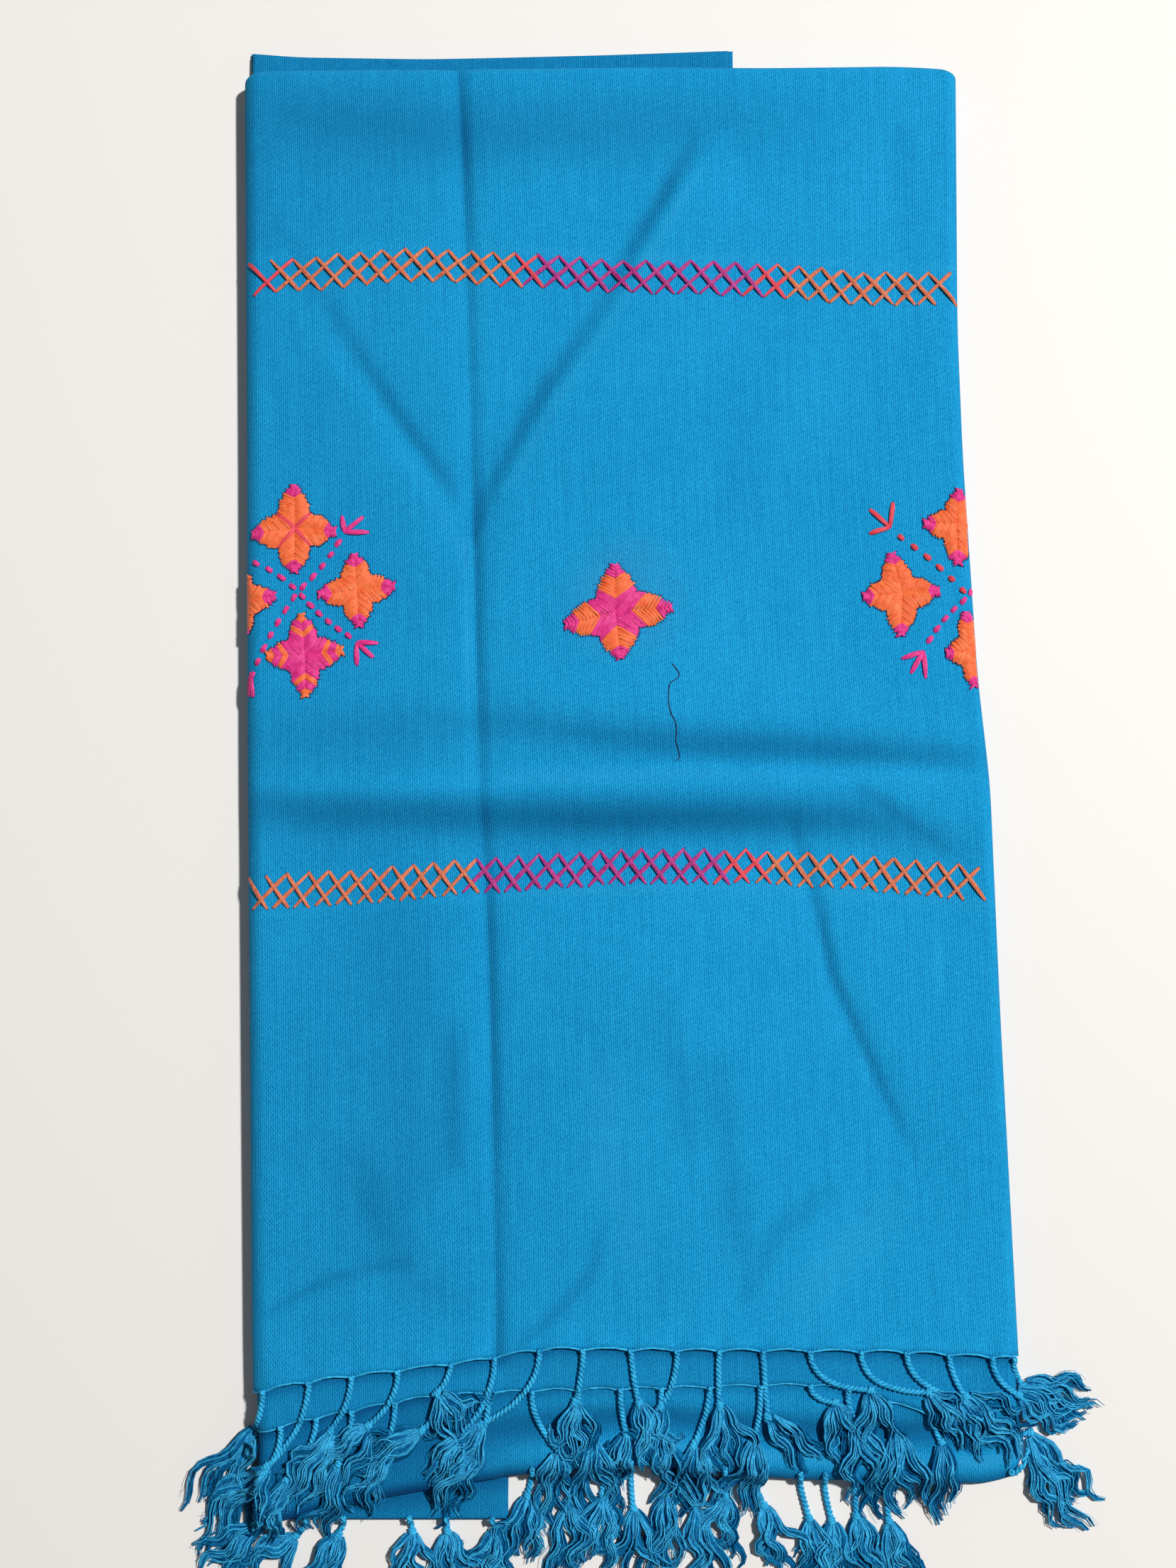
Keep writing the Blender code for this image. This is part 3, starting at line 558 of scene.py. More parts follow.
# Tassels: root x, knot x and y, tip x and y, and the kind of tuft, which is loose where none is named
topTassels = [
    (-128, -132, -257, -152, -288), (-110, -126, -270, -139, -290, "looped"), (-93, -101, -256, -117, -284),
    (-75, -86, -254, -99, -270), (-54, -59, -241, -46, -256, "looped"), (-37, -49, -257, -56, -274),
    (-19, -42, -254, -52, -272, "thin"), (-2, -5, -245, -3, -270, "looped"), (17, 20, -245, 27, -270, "looped"),
    (35, 29, -247, 26, -268, "thin"), (52, 52, -246, 57, -268), (69, 71, -251, 83, -264, "thin"),
    (88, 111, -241, 118, -267), (108, 134, -242, 148, -256, "flat"), (126, 146, -244, 156, -262),
    (143, 149, -243, 172, -262), (160, 170, -243, 196, -254), (169, 174, -241, 194, -246),
]
secondTassels = [
    (-121, -127, -272, -148, -302), (-107, -118, -275, -130, -304, "thin"), (-93, -98, -269, -108, -296, "thin"),
    (-76, -80, -264, -88, -286, "thin"), (-59, -65, -256, -88, -268), (-39, -43, -262, -56, -290, "thin"),
    (-22, -12, -264, -12, -292), (-4, 2, -260, 6, -290), (13, 15, -258, 10, -278, "thin"), (29, 30, -260, 34, -290),
    (48, 42, -262, 43, -292, "looped"), (68, 66, -260, 62, -290), (88, 97, -246, 104, -262, "looped"),
    (103, 106, -254, 114, -286), (119, 122, -258, 128, -288), (138, 140, -262, 142, -289, "thin"),
    (160, 176, -260, 198, -288),
]
leftTassels = [
    (-126, -132, -296, -152, -312), (-112, -116, -300, -134, -316), (-97, -99, -299, -104, -314),
    (-71, -70, -298, -69, -318), (-56, -56, -298, -52, -320), (-38, -36, -297, -40, -314, "looped"),
]
rightTassels = [
    (-22, -24, -284, -28, -308), (-8, -8, -287, -8, -316), (6, 6, -284, 4, -308), (17, 18, -289, 22, -316, "looped"),
    (30, 31, -284, 30, -308), (42, 43, -289, 46, -318), (54, 55, -284, 52, -306), (66, 70, -288, 78, -312),
    (84, 88, -293, 91, -318), (94, 97, -294, 99, -316), (106, 107, -292, 110, -318), (119, 120, -294, 127, -320),
    (168, 176, -267, 192, -290),
]


def scallop(x, tassels, depth):
    # the hem is drawn down at each tassel and bows up between two
    for (first, *_), (second, *_) in zip(tassels, tassels[1:]):
        if first <= x <= second:
            return depth * sin(pi * (x - first) / (second - first)) ** 0.8
    return 0.0


def topHemAt(x):
    return smoothAlong(packet["topHem"], x) + scallop(x, topTassels, 1.7) - 0.8


def secondHemAt(x):
    return smoothAlong(packet["secondHem"], x) + scallop(x, secondTassels, 1.3) - 0.6


def topRow(share):
    return lambda x: topHemAt(x) * (1 - share) + (farEdgeAt(x) - packet["roll"]) * share


rowList = [(topRow(share), 0.0) for share in spread(topLayer["rows"])]
rowList += [(topRow(1.0), roll) for roll in range(topLayer["rollStep"], topLayer["rollEnd"], topLayer["rollStep"])]


def hemLift(x, y):
    # between two tassels the free hem stands a little off the layer below
    return scallop(x, topTassels, topLayer["lift"]) * exp(-max(y - topHemAt(x), 0.0) / 6.0)


def topSpot(station, row):
    spot = layerSpot(station, *row, 0.0)
    if station[0] == "top" and row[1] == 0.0:
        spot.z += hemLift(spot.x / mm - shiftX, spot.y / mm - shiftY) * mm
    return spot


# the upper face's colour takes the creases' painted shade and light
topCloth = layCloth("topCloth", sectionStations(topLayer["lip"], -90), rowList, topSpot, clothTop,
                    lambda x, y: creaseAt(x, y)[1])
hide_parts("top_layer")
print("upper layer laid")


# The layer below it, whose own hem shows
secondLayer = {"rows": 24, "under": 26, "shade": 0.20, "hemShade": 0.52, "hemReach": 4.0}


def secondSpot(station, share):
    def rowAt(x):
        return secondHemAt(x) * (1 - share) + (smoothAlong(packet["topHem"], x) + secondLayer["under"]) * share
    return layerSpot(station, rowAt, 0.0, packet["layer"])


# painted shade: the whole layer a little darker, and more just below the first hem, where its shadow falls
def secondShade(x, y):
    return secondLayer["shade"] + secondLayer["hemShade"] * hill(max(topHemAt(x) - y, 0.0), secondLayer["hemReach"])


secondCloth = layCloth("secondCloth", sectionStations((), -60), spread(secondLayer["rows"]), secondSpot,
                       clothUnder, secondShade)
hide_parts("second_layer")


# The fold below both hems: a soft roll along the near end, closed at its two sides.
# It lies on the flap on the left, and is loose on the right, where it sinks below the hem and shows a crest.
nearRoll = {
    "reach": 7.5, "drop": 1.4, "sink": 3.4, "sinkAt": 19.0, "leftReach": 5.0, "rightReach": 4.0, "flapHigh": 5.15,
    "flapEnd": (-38, -31), "loose": (-70, 10), "columns": 150, "flatRows": 26, "sinkShade": 0.52, "hemShade": 0.40,
    "edgeShade": 0.50, "leftShade": 0.46, "crestShade": -0.30, "shade": 0.08,
}


def nearLow(x):
    return nearRoll["flapHigh"] * (1 - ease(*nearRoll["flapEnd"], x))


def nearTop(x, y):
    # the cloth sinks below the hem and swells up again to the fold's crest
    beyond = y - foldAt(x)
    fall = nearRoll["drop"] * ease(26, 6, beyond)
    sink = nearRoll["sink"] * (0.3 + 0.7 * ease(*nearRoll["loose"], x)) * hill(beyond - nearRoll["sinkAt"], 6.0)
    return stackHeight(x, y) - 2 * packet["layer"] - fall - sink


# painted shade a little all over, in the trough, just below the second hem where its shadow falls, along the fold's
# edge and over the left part; painted light along the crest on the loose right
def nearShade(x, y):
    beyond = y - foldAt(x)
    loose = ease(*nearRoll["loose"], x)
    shade = nearRoll["sinkShade"] * hill(beyond - nearRoll["sinkAt"], 5.6) * (0.25 + 0.75 * loose)
    shade += nearRoll["hemShade"] * hill(max(secondHemAt(x) - y, 0.0), 3.4)
    shade += nearRoll["edgeShade"] * ease(6.5, 0.5, beyond) + nearRoll["leftShade"] * (1 - loose)
    return shade + nearRoll["crestShade"] * loose * hill(beyond - 9.5, 3.8) + nearRoll["shade"]


def nearSpot(station, row):
    (kind, value), (rowKind, amount) = station, row
    left, right = sides(-270)
    left, right = left + 1.0, right - 0.4
    first, last = left + nearRoll["leftReach"], right - nearRoll["rightReach"]
    closing = 1.0
    if kind == "top":
        x = first + value * (last - first)
    else:
        closing = sin(radians(value))
        side, reach = (left, nearRoll["leftReach"]) if kind == "left" else (right, -nearRoll["rightReach"])
        x = side + reach * (1 - cos(radians(value)))
    low = nearLow(x)
    start = foldAt(x) + nearRoll["reach"] + 3 * (1 - closing)
    if rowKind == "flat":
        y = start + (secondHemAt(x) + 11 - start) * (1 - amount)
        z = nearTop(x, y)
    elif rowKind == "nose":
        turn = radians(amount)
        y = start - nearRoll["reach"] * closing * cos(turn)
        top = nearTop(x, start)
        z = (top + low) / 2 + (top - low) / 2 * sin(turn)
    else:
        y, z = start + amount, low
    return place(x, y, low + (z - low) * closing)


nearStations = [("left", angle) for angle in range(0, 90, 10)]
nearStations += [("top", share) for share in spread(nearRoll["columns"])]
nearStations += [("right", angle) for angle in range(80, -1, -10)]
nearRows = [("under", amount) for amount in (14, 9, 5, 2)]
nearRows += [("nose", angle) for angle in range(-90, 90, 9)]
nearRows += [("flat", share) for share in spread(nearRoll["flatRows"], 1.0, 0.0)]
nearCloth = layCloth("nearFold", nearStations, nearRows, nearSpot, clothUnder, nearShade)
print("second layer and near fold laid")


# Folded layers that show at the sides: closed leaves with rounded rims
leaf = {"rim": (0.0, 0.04, 0.14, 0.32, 0.62, 1.0), "wander": 0.5, "ripple": 0.12, "shade": 0.34, "foldShade": 0.45}


def leafStations(length, rim, step):
    count = max(int((length - 2 * rim) / step), 2)
    middle = spread(count, rim, length - rim)[1:-1]
    stations = [rim * share for share in leaf["rim"]] + middle
    return [at / length for at in stations + [length - rim * share for share in reversed(leaf["rim"])]]


def addLeaf(mesh, edges, low, high, seed, rim=2.4, step=5.0):
    # the edges are at the left, right, near and far side, each a number or a function of the other direction
    weave, shade = mesh.loops.layers.uv["weave"], mesh.verts.layers.float["shade"]
    leftAt, rightAt, nearAt, farAt = (edge if callable(edge) else steady(edge) for edge in edges)
    length = farAt(0) - nearAt(0)
    width = rightAt(0) - leftAt(0)
    across, along = leafStations(width, rim, step), leafStations(length, rim, step)
    made = []
    for face in (1, -1):
        grid = bmesh.ops.create_grid(mesh, x_segments=len(across) - 1, y_segments=len(along) - 1, size=1.0)
        index = {}
        for vert in grid["verts"]:
            i, j = gridSpot(vert, len(across), len(along))
            guess = nearAt(0) + along[j] * length
            x = leftAt(guess) + across[i] * (rightAt(guess) - leftAt(guess))
            y = nearAt(x) + along[j] * (farAt(x) - nearAt(x))
            x += leaf["wander"] * drift(seed, y / 30, across[i])
            away = min(across[i] * width, (1 - across[i]) * width, along[j] * length, (1 - along[j]) * length)
            closing = sqrt(max(1 - (1 - min(away / rim, 1.0)) ** 2, 0.0))
            ripple = leaf["ripple"] * drift(x / 25, y / 25, seed)
            index[vert] = (x * mm, y * mm)
            z = (low + high) / 2 + face * (high - low) / 2 * closing + ripple * closing
            vert.co = place(x, y, max(z, 0.02))
            # painted shade: every leaf a little darker, more near the near fold's edge, where the fold shades it
            vert[shade] = leaf["shade"] + leaf["foldShade"] * hill(y - foldAt(x), 5.5)
        for item in {found for vert in grid["verts"] for found in vert.link_faces}:
            for loop in item.loops:
                loop[weave].uv = index[loop.vert]
            if face < 0:
                item.normal_flip()
        made += grid["verts"]
    bmesh.ops.remove_doubles(mesh, verts=made, dist=0.00002)


def steady(value):
    return lambda _: value


def makeLeaves(name, node, table):
    mesh = bmesh.new()
    mesh.verts.layers.float.new("shade")
    mesh.loops.layers.uv.new("weave")
    for row in table:
        addLeaf(mesh, *row)
    made = finishMesh(name, mesh, clothUnder)
    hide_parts(node)
    return made


foldedLeaves = makeLeaves("foldedLeaves", "folded_core", [
    ((67, lambda y: sides(y)[1] - 0.5, -262, lambda x: farEdgeAt(x) - 0.5), 0.0, 2.6, 1.0),
    ((90, lambda y: sides(y)[1] - 1.1, -262, lambda x: farEdgeAt(x) - 5.0), 2.7, 5.3, 4.0),
    ((-133, 58, 225, lambda x: farEdgeAt(x) + 0.2), 5.3, 8.0, 7.0),
])

# The tucked flap: each of its two leaves has a tab beyond the far end, a tongue under the near end, and its body.
flap = {
    "farEnd": [(-141, 306.0), (-125, 304.2), (-68, 303.3), (-38, 303.9), (9, 305.1), (61, 307.0)],
    "tab": (-140.5, 60.5), "tongue": (-130.5, -31.5), "tongueEnd": -294, "bodyLeft": 31, "bodyRight": 0.68,
    "rim": 2.0, "top": 5.0,
}


def flapBodyRight(y, inset):
    low, high = flatSpan(y)
    return low + flap["bodyRight"] * (high - low) - 1.5 - inset


flapLeaves = []
for number, low, high, back in ((0, 0.0, 2.4, 0.0), (1, 2.6, flap["top"], 0.9)):
    tab = (flap["tab"][0] + back, flap["tab"][1] - 2.2 * number, 298 - 28 * number,
           lambda x, back=back: smoothAlong(flap["farEnd"], x) - back)
    tongue = (flap["tongue"][0] + back, flap["tongue"][1] - back, flap["tongueEnd"] + back, -262)
    body = (lambda y: sides(y)[0] + flap["bodyLeft"], lambda y, inset=number: flapBodyRight(y, inset), -262.5, 298.5)
    for edges, seed, step in ((tab, 11.0, 5.0), (tongue, 21.0, 5.0), (body, 31.0, 9.0)):
        flapLeaves.append((edges, low, high, seed + number, flap["rim"], step))
flapCloth = makeLeaves("tuckedFlap", "under_flap", flapLeaves)
print("folded leaves and tucked flap laid")


# Hems: a narrow rolled edge along each layer, drawn down at the tassels
def hemThread(name, hemAt, depth, thickness):
    threads = newThreads(name, [fringeYarn], thickness, 1)
    left, right = sides(-235)
    points, widths = [], []
    for x in spread(230, left + 0.8 + depth, right - 0.6 - depth):
        y = hemAt(min(x, right - packet["cap"]))
        lift = hemLift(x, y) if depth == 0 else 0.0
        wobble = 0.22 * drift(x / 3.0, depth, 2.0)
        points.append(place(x, y - 0.15 + wobble, roundedHeight(x, y, depth) - 0.30 + lift))
        widths.append(1.0 + 0.35 * drift(x / 2.2, 5.0, depth))
    addThread(threads, points, widths)
    return threads


topHemThread = hemThread("topHemRoll", topHemAt, 0.0, 0.46)
secondHemThread = hemThread("secondHemRoll", secondHemAt, packet["layer"], 0.42)


# Fringe: two-ply cords, knots, and tufts of loose wavy yarn. A kind of tuft is its number of locks and its width.
fringe = {
    "ply": 0.74, "plyOffset": 0.66, "pitch": 3.7, "yarn": 0.35, "yarns": 10, "filling": 3, "fillingWidth": 1.9,
    "strayWidth": 0.4, "strayReach": 3.4, "bundle": 1.65, "inside": 3.0, "pile": (0.4, 4.4), "shortest": 26.0,
    "steps": 12, "kinds": {"loose": (8, 11.0), "looped": (8, 12.0), "flat": (7, 8.0), "thin": (5, 6.0)},
}
knot = {"points": 24, "turns": 2.2, "long": 2.4, "wide": 1.15, "high": 1.05, "thread": 0.75, "lowest": 0.8}
fullTurn = 6.28  # in radians, for the random phases and waves


def restHeight(x, y):
    # the highest cloth or floor under one place of the fringe
    left, right = sides(y)
    if left + 1 < x < right - 0.5:
        if y > topHemAt(x):
            return roundedHeight(x, y)
        if y > secondHemAt(x):
            return roundedHeight(x, y, packet["layer"])
        if y > foldAt(x):
            away = min((y - foldAt(x)) / nearRoll["reach"], 1.0)
            low, top = nearLow(x), nearTop(x, y)
            return (top + low) / 2 + (top - low) / 2 * sqrt(1 - (1 - away) ** 2)
    west, east = flap["tongue"]
    return flap["top"] if west < x < east and y > flap["tongueEnd"] else 0.0


def settle(track, clearance, slack=3):
    # gives each (x, y, pile) of a track its height, and lets it bend softly over the edges
    rests = [restHeight(x, y) for x, y, _ in track]
    heights = list(rests)
    for _ in range(slack):
        padded = [heights[0]] + heights + [heights[-1]]
        heights = [max(rests[i], (padded[i] + padded[i + 1] + padded[i + 2]) / 3) for i in range(len(heights))]
    return [Vector((x, y, height + clearance + pile)) for (x, y, pile), height in zip(track, heights)]


def curved(start, bend, end, count):
    points = []
    for share in spread(count):
        rest = 1 - share
        x, y = (first * rest * rest + middle * 2 * rest * share + last * share * share
                for first, middle, last in zip(start, bend, end))
        points.append((x, y, 0.0))
    return points


def addCord(threads, track, chance):
    line = settle(track, fringe["ply"] + fringe["plyOffset"], 6)
    phase = chance.uniform(0, fullTurn)
    for half in (0, pi):
        gone, points, widths = 0.0, [], []
        for index, here in enumerate(line):
            before, after = line[max(index - 1, 0)], line[min(index + 1, len(line) - 1)]
            way = (after - before).normalized()
            side = way.cross(Vector((0, 0, 1))).normalized()
            up = side.cross(way)
            if index:
                gone += (here - line[index - 1]).length
            turn = phase + half + gone / fringe["pitch"] * 2 * pi
            offset = side * (cos(turn) * fringe["plyOffset"]) + up * (sin(turn) * fringe["plyOffset"])
            points.append(place(*(here + offset)))
            widths.append(fringe["ply"] / fringe["yarn"] * (1 + 0.10 * sin(gone * 2.1 + half)))
        addThread(threads, points, widths)
    return line[-1]


def addKnot(threads, centre, way, chance):
    side = Vector((way.y, -way.x, 0))
    up = Vector((0, 0, 1))
    points = []
    tilt = chance.uniform(-0.5, 0.5)
    for share in spread(knot["points"]):
        turn = share * knot["turns"] * 2 * pi
        along = (share - 0.5) * knot["long"] + tilt * cos(turn) + 1.0
        spot = centre + way * along + side * (cos(turn) * knot["wide"]) + up * (sin(turn) * knot["high"])
        points.append(place(spot.x, spot.y, max(spot.z, knot["lowest"])))
    addThread(threads, points, [knot["thread"] / fringe["yarn"]] * knot["points"])


def lockPath(x, y, heading, fan, curl, wave, stride):
    # the middle line of one lock: it fans out, sways in waves, and may curl back
    swing, waves, start = wave
    steps = fringe["steps"]
    path = []
    for step in range(steps):
        far = step / (steps - 1)
        turn = heading + fan * (1 - 1.3 * far) + curl * ease(0.3, 1.0, far)
        turn += swing * sin(start + far * waves * fullTurn) * min(far * 3, 1.0)
        path.append((x, y, turn))
        x += cos(turn) * stride
        y += sin(turn) * stride
    return path


def addLock(threads, path, pile, base, chance):
    # yarns wound round the lock's middle line: first the filling, then the outer yarns, and one stray yarn
    steps = fringe["steps"]
    for yarn in range(fringe["yarns"] + 1):
        stray = yarn == fringe["yarns"]
        filling = yarn < fringe["filling"]
        angle = chance.uniform(0, fullTurn)
        radius = sqrt(chance.uniform(0.3, 1.0)) * fringe["bundle"] * (0.45 if filling else 1.0)
        wander, ends = chance.uniform(-1.0, 1.0), chance.uniform(0.86, 1.0)
        thick = fringe["strayWidth"] if stray else fringe["fillingWidth"] if filling else 1.0
        track, widths = [], []
        for step in range(steps):
            far = step / (steps - 1) * ends
            x, y, turn = path[min(int(far * (steps - 1) + 0.5), steps - 1)]
            body = radius * (0.45 + 0.70 * sin(pi * min(far * 0.95 + 0.05, 1.0)) ** 0.7)
            cross = cos(angle + far * 3.0) * body
            if stray:
                cross += fringe["strayReach"] * wander * far * far
            height = (sin(angle + far * 3.0) + 1.0) * body * 0.8
            height += pile * min(far * 3, 1.0) * (1 - 0.75 * far) + base * max(1 - far * 2.2, 0.0)
            track.append((x - sin(turn) * cross, y + cos(turn) * cross, height))
            widths.append(thick * (1.0 - 0.65 * (step / (steps - 1)) ** 3) * (0.7 if step == 0 else 1.0))
        # yarns deep in the lock take the darker copy of the yarn: painted shade
        inside = filling or pile + (sin(angle) + 1.0) * radius < fringe["inside"]
        line = settle(track, 0.75 if filling else 0.5)
        addThread(threads, [place(*spot) for spot in line], widths, 1 if inside else 2)


def addTuft(threads, root, knotSpot, tip, kind, chance):
    reach = Vector((tip[0] - knotSpot[0], tip[1] - knotSpot[1], 0))
    length = max(reach.length * 1.16 + 3.0, fringe["shortest"])
    heading = atan2(reach.y, reach.x)
    locks, width = fringe["kinds"][kind]
    lowest, highest = fringe["pile"]
    piles = [lowest + highest * lock / locks for lock in range(locks)]
    chance.shuffle(piles)
    base = max(root.z - restHeight(root.x, root.y) - 1.0, 0.0)
    for lock in range(locks):
        aside = (lock - (locks - 1) / 2) / max(locks - 1, 1) + chance.uniform(-0.1, 0.1)
        span = length * chance.uniform(0.75, 1.08)
        if lock % 3 == 0:
            # three locks share one wave
            swing, waves, start = chance.uniform(0.45, 1.05), chance.uniform(1.2, 2.3), chance.uniform(0, fullTurn)
        start += chance.uniform(-0.5, 0.5)
        curl = chance.choice((-1, 1)) * chance.uniform(2.2, 4.0) if kind == "looped" and lock % 2 == 0 else 0.0
        x = root.x + 1.6 * cos(heading) - 3.0 * aside * sin(heading)
        y = root.y + 1.6 * sin(heading) + 3.0 * aside * cos(heading)
        path = lockPath(x, y, heading, aside * width / length * 3.2, curl, (swing, waves, start),
                        span / (fringe["steps"] - 1))
        addLock(threads, path, piles[lock], base, chance)


def addFringe(name, tassels, hemAt, node, seed):
    chance = random.Random(seed)
    threads = newThreads(name, [fringeYarn, innerShadedYarn, tuftYarn], fringe["yarn"])
    for rootX, knotX, knotY, tipX, tipY, *kind in tassels:
        startY = hemAt(rootX) + 0.6
        reach = hypot(knotX - rootX, knotY - startY)
        bend = (rootX + chance.uniform(-1, 1), startY - reach * 0.5)
        track = curved((rootX, startY), bend, (knotX, knotY), max(int(reach / 0.5), 8))
        end = addCord(threads, track, chance)
        way = Vector((track[-1][0] - track[-3][0], track[-1][1] - track[-3][1], 0)).normalized()
        addKnot(threads, end, way, chance)
        addTuft(threads, end, (knotX, knotY), (tipX, tipY), kind[0] if kind else "loose", chance)
    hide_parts(node)
    return threads


topFringe = addFringe("topFringe", topTassels, topHemAt, "fringe_top", 11)
secondFringe = addFringe("secondFringe", secondTassels, secondHemAt, "fringe_second", 23)
leftFringe = addFringe("leftUnderFringe", leftTassels, steady(-292.5), "fringe_under_left", 37)
rightFringe = addFringe("rightUnderFringe", rightTassels, lambda x: foldAt(x) + 3, "fringe_under_right", 41)
print("fringe made")


# Embroidery: stranded floss laid over the cloth, each stitch a few fine strands. "run" is for the stitches between
# the stars, "foot" for the three-toed feet, as width, strands and lift.
floss = {
    "strand": 0.29, "width": 1.45, "lift": 0.34, "overLift": 0.34, "arch": 0.40, "crown": 0.42, "endLong": 0.45,
    "run": (1.9, 5, 0.36), "foot": (1.8, 5, 0.36),
}
orangeThreads, magentaThreads, redThreads, darkEndsAndShadowRims = [
    newThreads(name, materials, floss["strand"]) for name, materials, slot in (
        ("orangeStitches", [orangeFloss, bandFloss], "orange_floss"),
        ("magentaStitches", [magentaFloss, bandPink], "magenta_floss"),
        ("redStitches", [redFloss], "red_floss"),
        ("threadEndsAndShadowRims", [darkThreadAndShadow], "loose_thread"))]
stitchChance = random.Random(5)
flossOf = {"o": orangeThreads, "m": magentaThreads, "r": redThreads}


def addEnd(spot, back, ahead, high, low, widths):
    # a short dark thread that goes down into the cloth; round the stars it is painted shadow at the stitches' outer
    # ends
    start, end = spot + back, spot + ahead
    addThread(darkEndsAndShadowRims, [onCloth(start.x, start.y, high), onCloth(end.x, end.y, low)], widths)


def addStitch(color, start, end, width, strands, lift, steps=6, ends=True, tone=0):
    start, run = Vector(start), Vector((end[0] - start[0], end[1] - start[1]))
    side = Vector((run.y, -run.x)).normalized()
    turn = stitchChance.uniform(0, fullTurn)
    for strand in range(strands):
        offset = (strand - (strands - 1) / 2) / strands * width
        crown = floss["crown"] * (1 - (2 * offset / width) ** 2)
        points, widths = [], []
        for share in spread(steps):
            gather = 0.45 + 0.55 * sin(pi * min(max(share, 0.02), 0.98)) ** 0.5
            shift = side * (offset * gather + 0.10 * sin(turn + strand + share * 5))
            x, y = start.x + run.x * share + shift.x, start.y + run.y * share + shift.y
            arch = floss["arch"] * sin(pi * share) ** 0.6
            rise = min(1.0, 0.2 + 4 * share, 0.2 + 4 * (1 - share))
            points.append(onCloth(x, y, (lift + crown) * rise + arch * 0.5))
            widths.append(0.7 if share in (0.0, 1.0) else 1.0)
        addThread(flossOf[color], points, widths, 0 if color == "r" else tone)
    if ends:
        for spot, sign in ((start, -1), (Vector(end), 1)):
            way = run.normalized() * (floss["endLong"] * sign)
            addEnd(spot, -way, way, 0.22, 0.02, [0.9, 0.7])


def clipped(start, end):
    # a stitch that would pass the fold ends on it
    left, right = sides(start.y)
    low, high = left + 0.5, right - 0.7
    if max(start.x, end.x) < low or min(start.x, end.x) > high:
        return None
    spots = []
    for spot, other in ((start, end), (end, start)):
        wanted = min(max(spot.x, low), high)
        share = 0.0 if wanted == spot.x else (wanted - spot.x) / (other.x - spot.x)
        spots.append(spot.lerp(other, share))
    return spots if (spots[1] - spots[0]).length > 0.7 else None


def addBand(line, breaks, height, band, first, last):
    # herringbone: each long stitch leans over one step or nearly two, from one border to the other.
    # "band" has the pitch and the two leans in pitches, at the first end and at the last.
    x = first
    while x < last:
        share = (x - first) / (last - first)
        pitch, ahead, behind = (near * (1 - share) + far * share for near, far in zip(*band))
        step = pitch * stitchChance.uniform(0.96, 1.04)
        for lean in (ahead, -behind):
            top = Vector((x, smoothAlong(line, x, 6) + height / 2 + stitchChance.uniform(-0.5, 0.5)))
            otherX = x + lean * pitch + stitchChance.uniform(-0.3, 0.3)
            if not first - pitch * 0.6 < otherX < last + pitch * 0.6:
                continue
            bottom = Vector((otherX, smoothAlong(line, otherX, 6) - height / 2 + stitchChance.uniform(-0.5, 0.5)))
            ends = clipped(top, bottom)
            if ends:
                color = next(found for until, found in breaks if (x + otherX) / 2 < until)
                lift = floss["lift"] + (floss["overLift"] if lean > 0 else 0.0)
                addStitch(color, *ends, floss["width"], 4, lift, 8, tone=1)
        x += step


# The middle line of each band, and its colours, each up to an x
upperBand = [(-139, 205.4), (-113, 207.5), (-84, 211), (-57, 211.6), (-48, 210), (-31, 209), (-13, 208.6), (5, 207),
             (23, 205.7), (50, 206), (87, 205.4), (104, 203), (122, 202.4), (149, 202.7)]
upperBreaks = [(-126, "r"), (-31, "o"), (-21, "r"), (67, "m"), (81, "r"), (200, "o")]
lowerBand = [(-136, -45), (-82, -41.7), (-54, -38.3), (-47, -38.1), (16, -34.1), (64, -34.1), (79, -34.6),
             (110, -36.4), (141, -39.2), (159, -41.2), (163, -41.2)]
lowerBreaks = [(-45, "o"), (56, "m"), (72, "r"), (200, "o")]
addBand(upperBand, upperBreaks, 13.4, [(9.3, 1.24, 1.76), (8.7, 1.34, 1.58)], -139, 151.5)
addBand(lowerBand, lowerBreaks, 13.6, [(8.3, 1.08, 1.66), (8.5, 1.22, 1.50)], -137, 162.5)

# Stars: centre, tips up, right, down and left, and the colours along each arm by their shares
stars = [
    ((-118.5, 102.6), [(-119.3, 121), (-101.5, 101.2), (-118.9, 83.8), (-136.6, 100)],
     [(0.05, "r"), (0.68, "o"), (1, "m")]),
    ((-93.3, 77.1), [(-94.6, 92.5), (-77.6, 78.9), (-92.3, 61.8), (-109.4, 75.4)], [(0.62, "o"), (1, "m")]),
    ((-114, 50.9), [(-115.9, 68.2), (-98.3, 52.9), (-113.6, 33.3), (-130, 50.6)],
     [(0.38, "m"), (0.53, "o"), (0.77, "m"), (1, "o")]),
    ((-140.9, 72.5), [(-141, 87.8), (-125.7, 75.1), (-139.8, 57.2), (-156.3, 72.5)], [(0.62, "o"), (1, "m")]),
    ((11, 68.2), [(10.8, 88.7), (34.8, 70.5), (13.3, 48.6), (-10.2, 63)], [(0.27, "m"), (0.66, "o"), (1, "m")]),
    ((149.8, 105.3), [(151.2, 119.8), (165.3, 102.9), (150.2, 87.8), (136.1, 105.3)], [(0.64, "o"), (1, "m")]),
    ((127.4, 76.8), [(123, 93.6), (142.9, 77.7), (126.7, 58.7), (111.1, 75.1)], [(0.66, "o"), (1, "m")]),
    ((155.2, 53.2), [(153.2, 69.6), (170.1, 51.7), (156.5, 38.2), (144.9, 52)], [(0.66, "o"), (1, "m")]),
]
starStitches = {
    "notch": 0.714, "perArm": 14, "width": 1.12, "belly": 0.085, "shortest": 1.8, "reach": 0.96, "overlap": 0.9,
    "lift": 0.46, "redLift": 0.25, "endLong": 0.75,
}


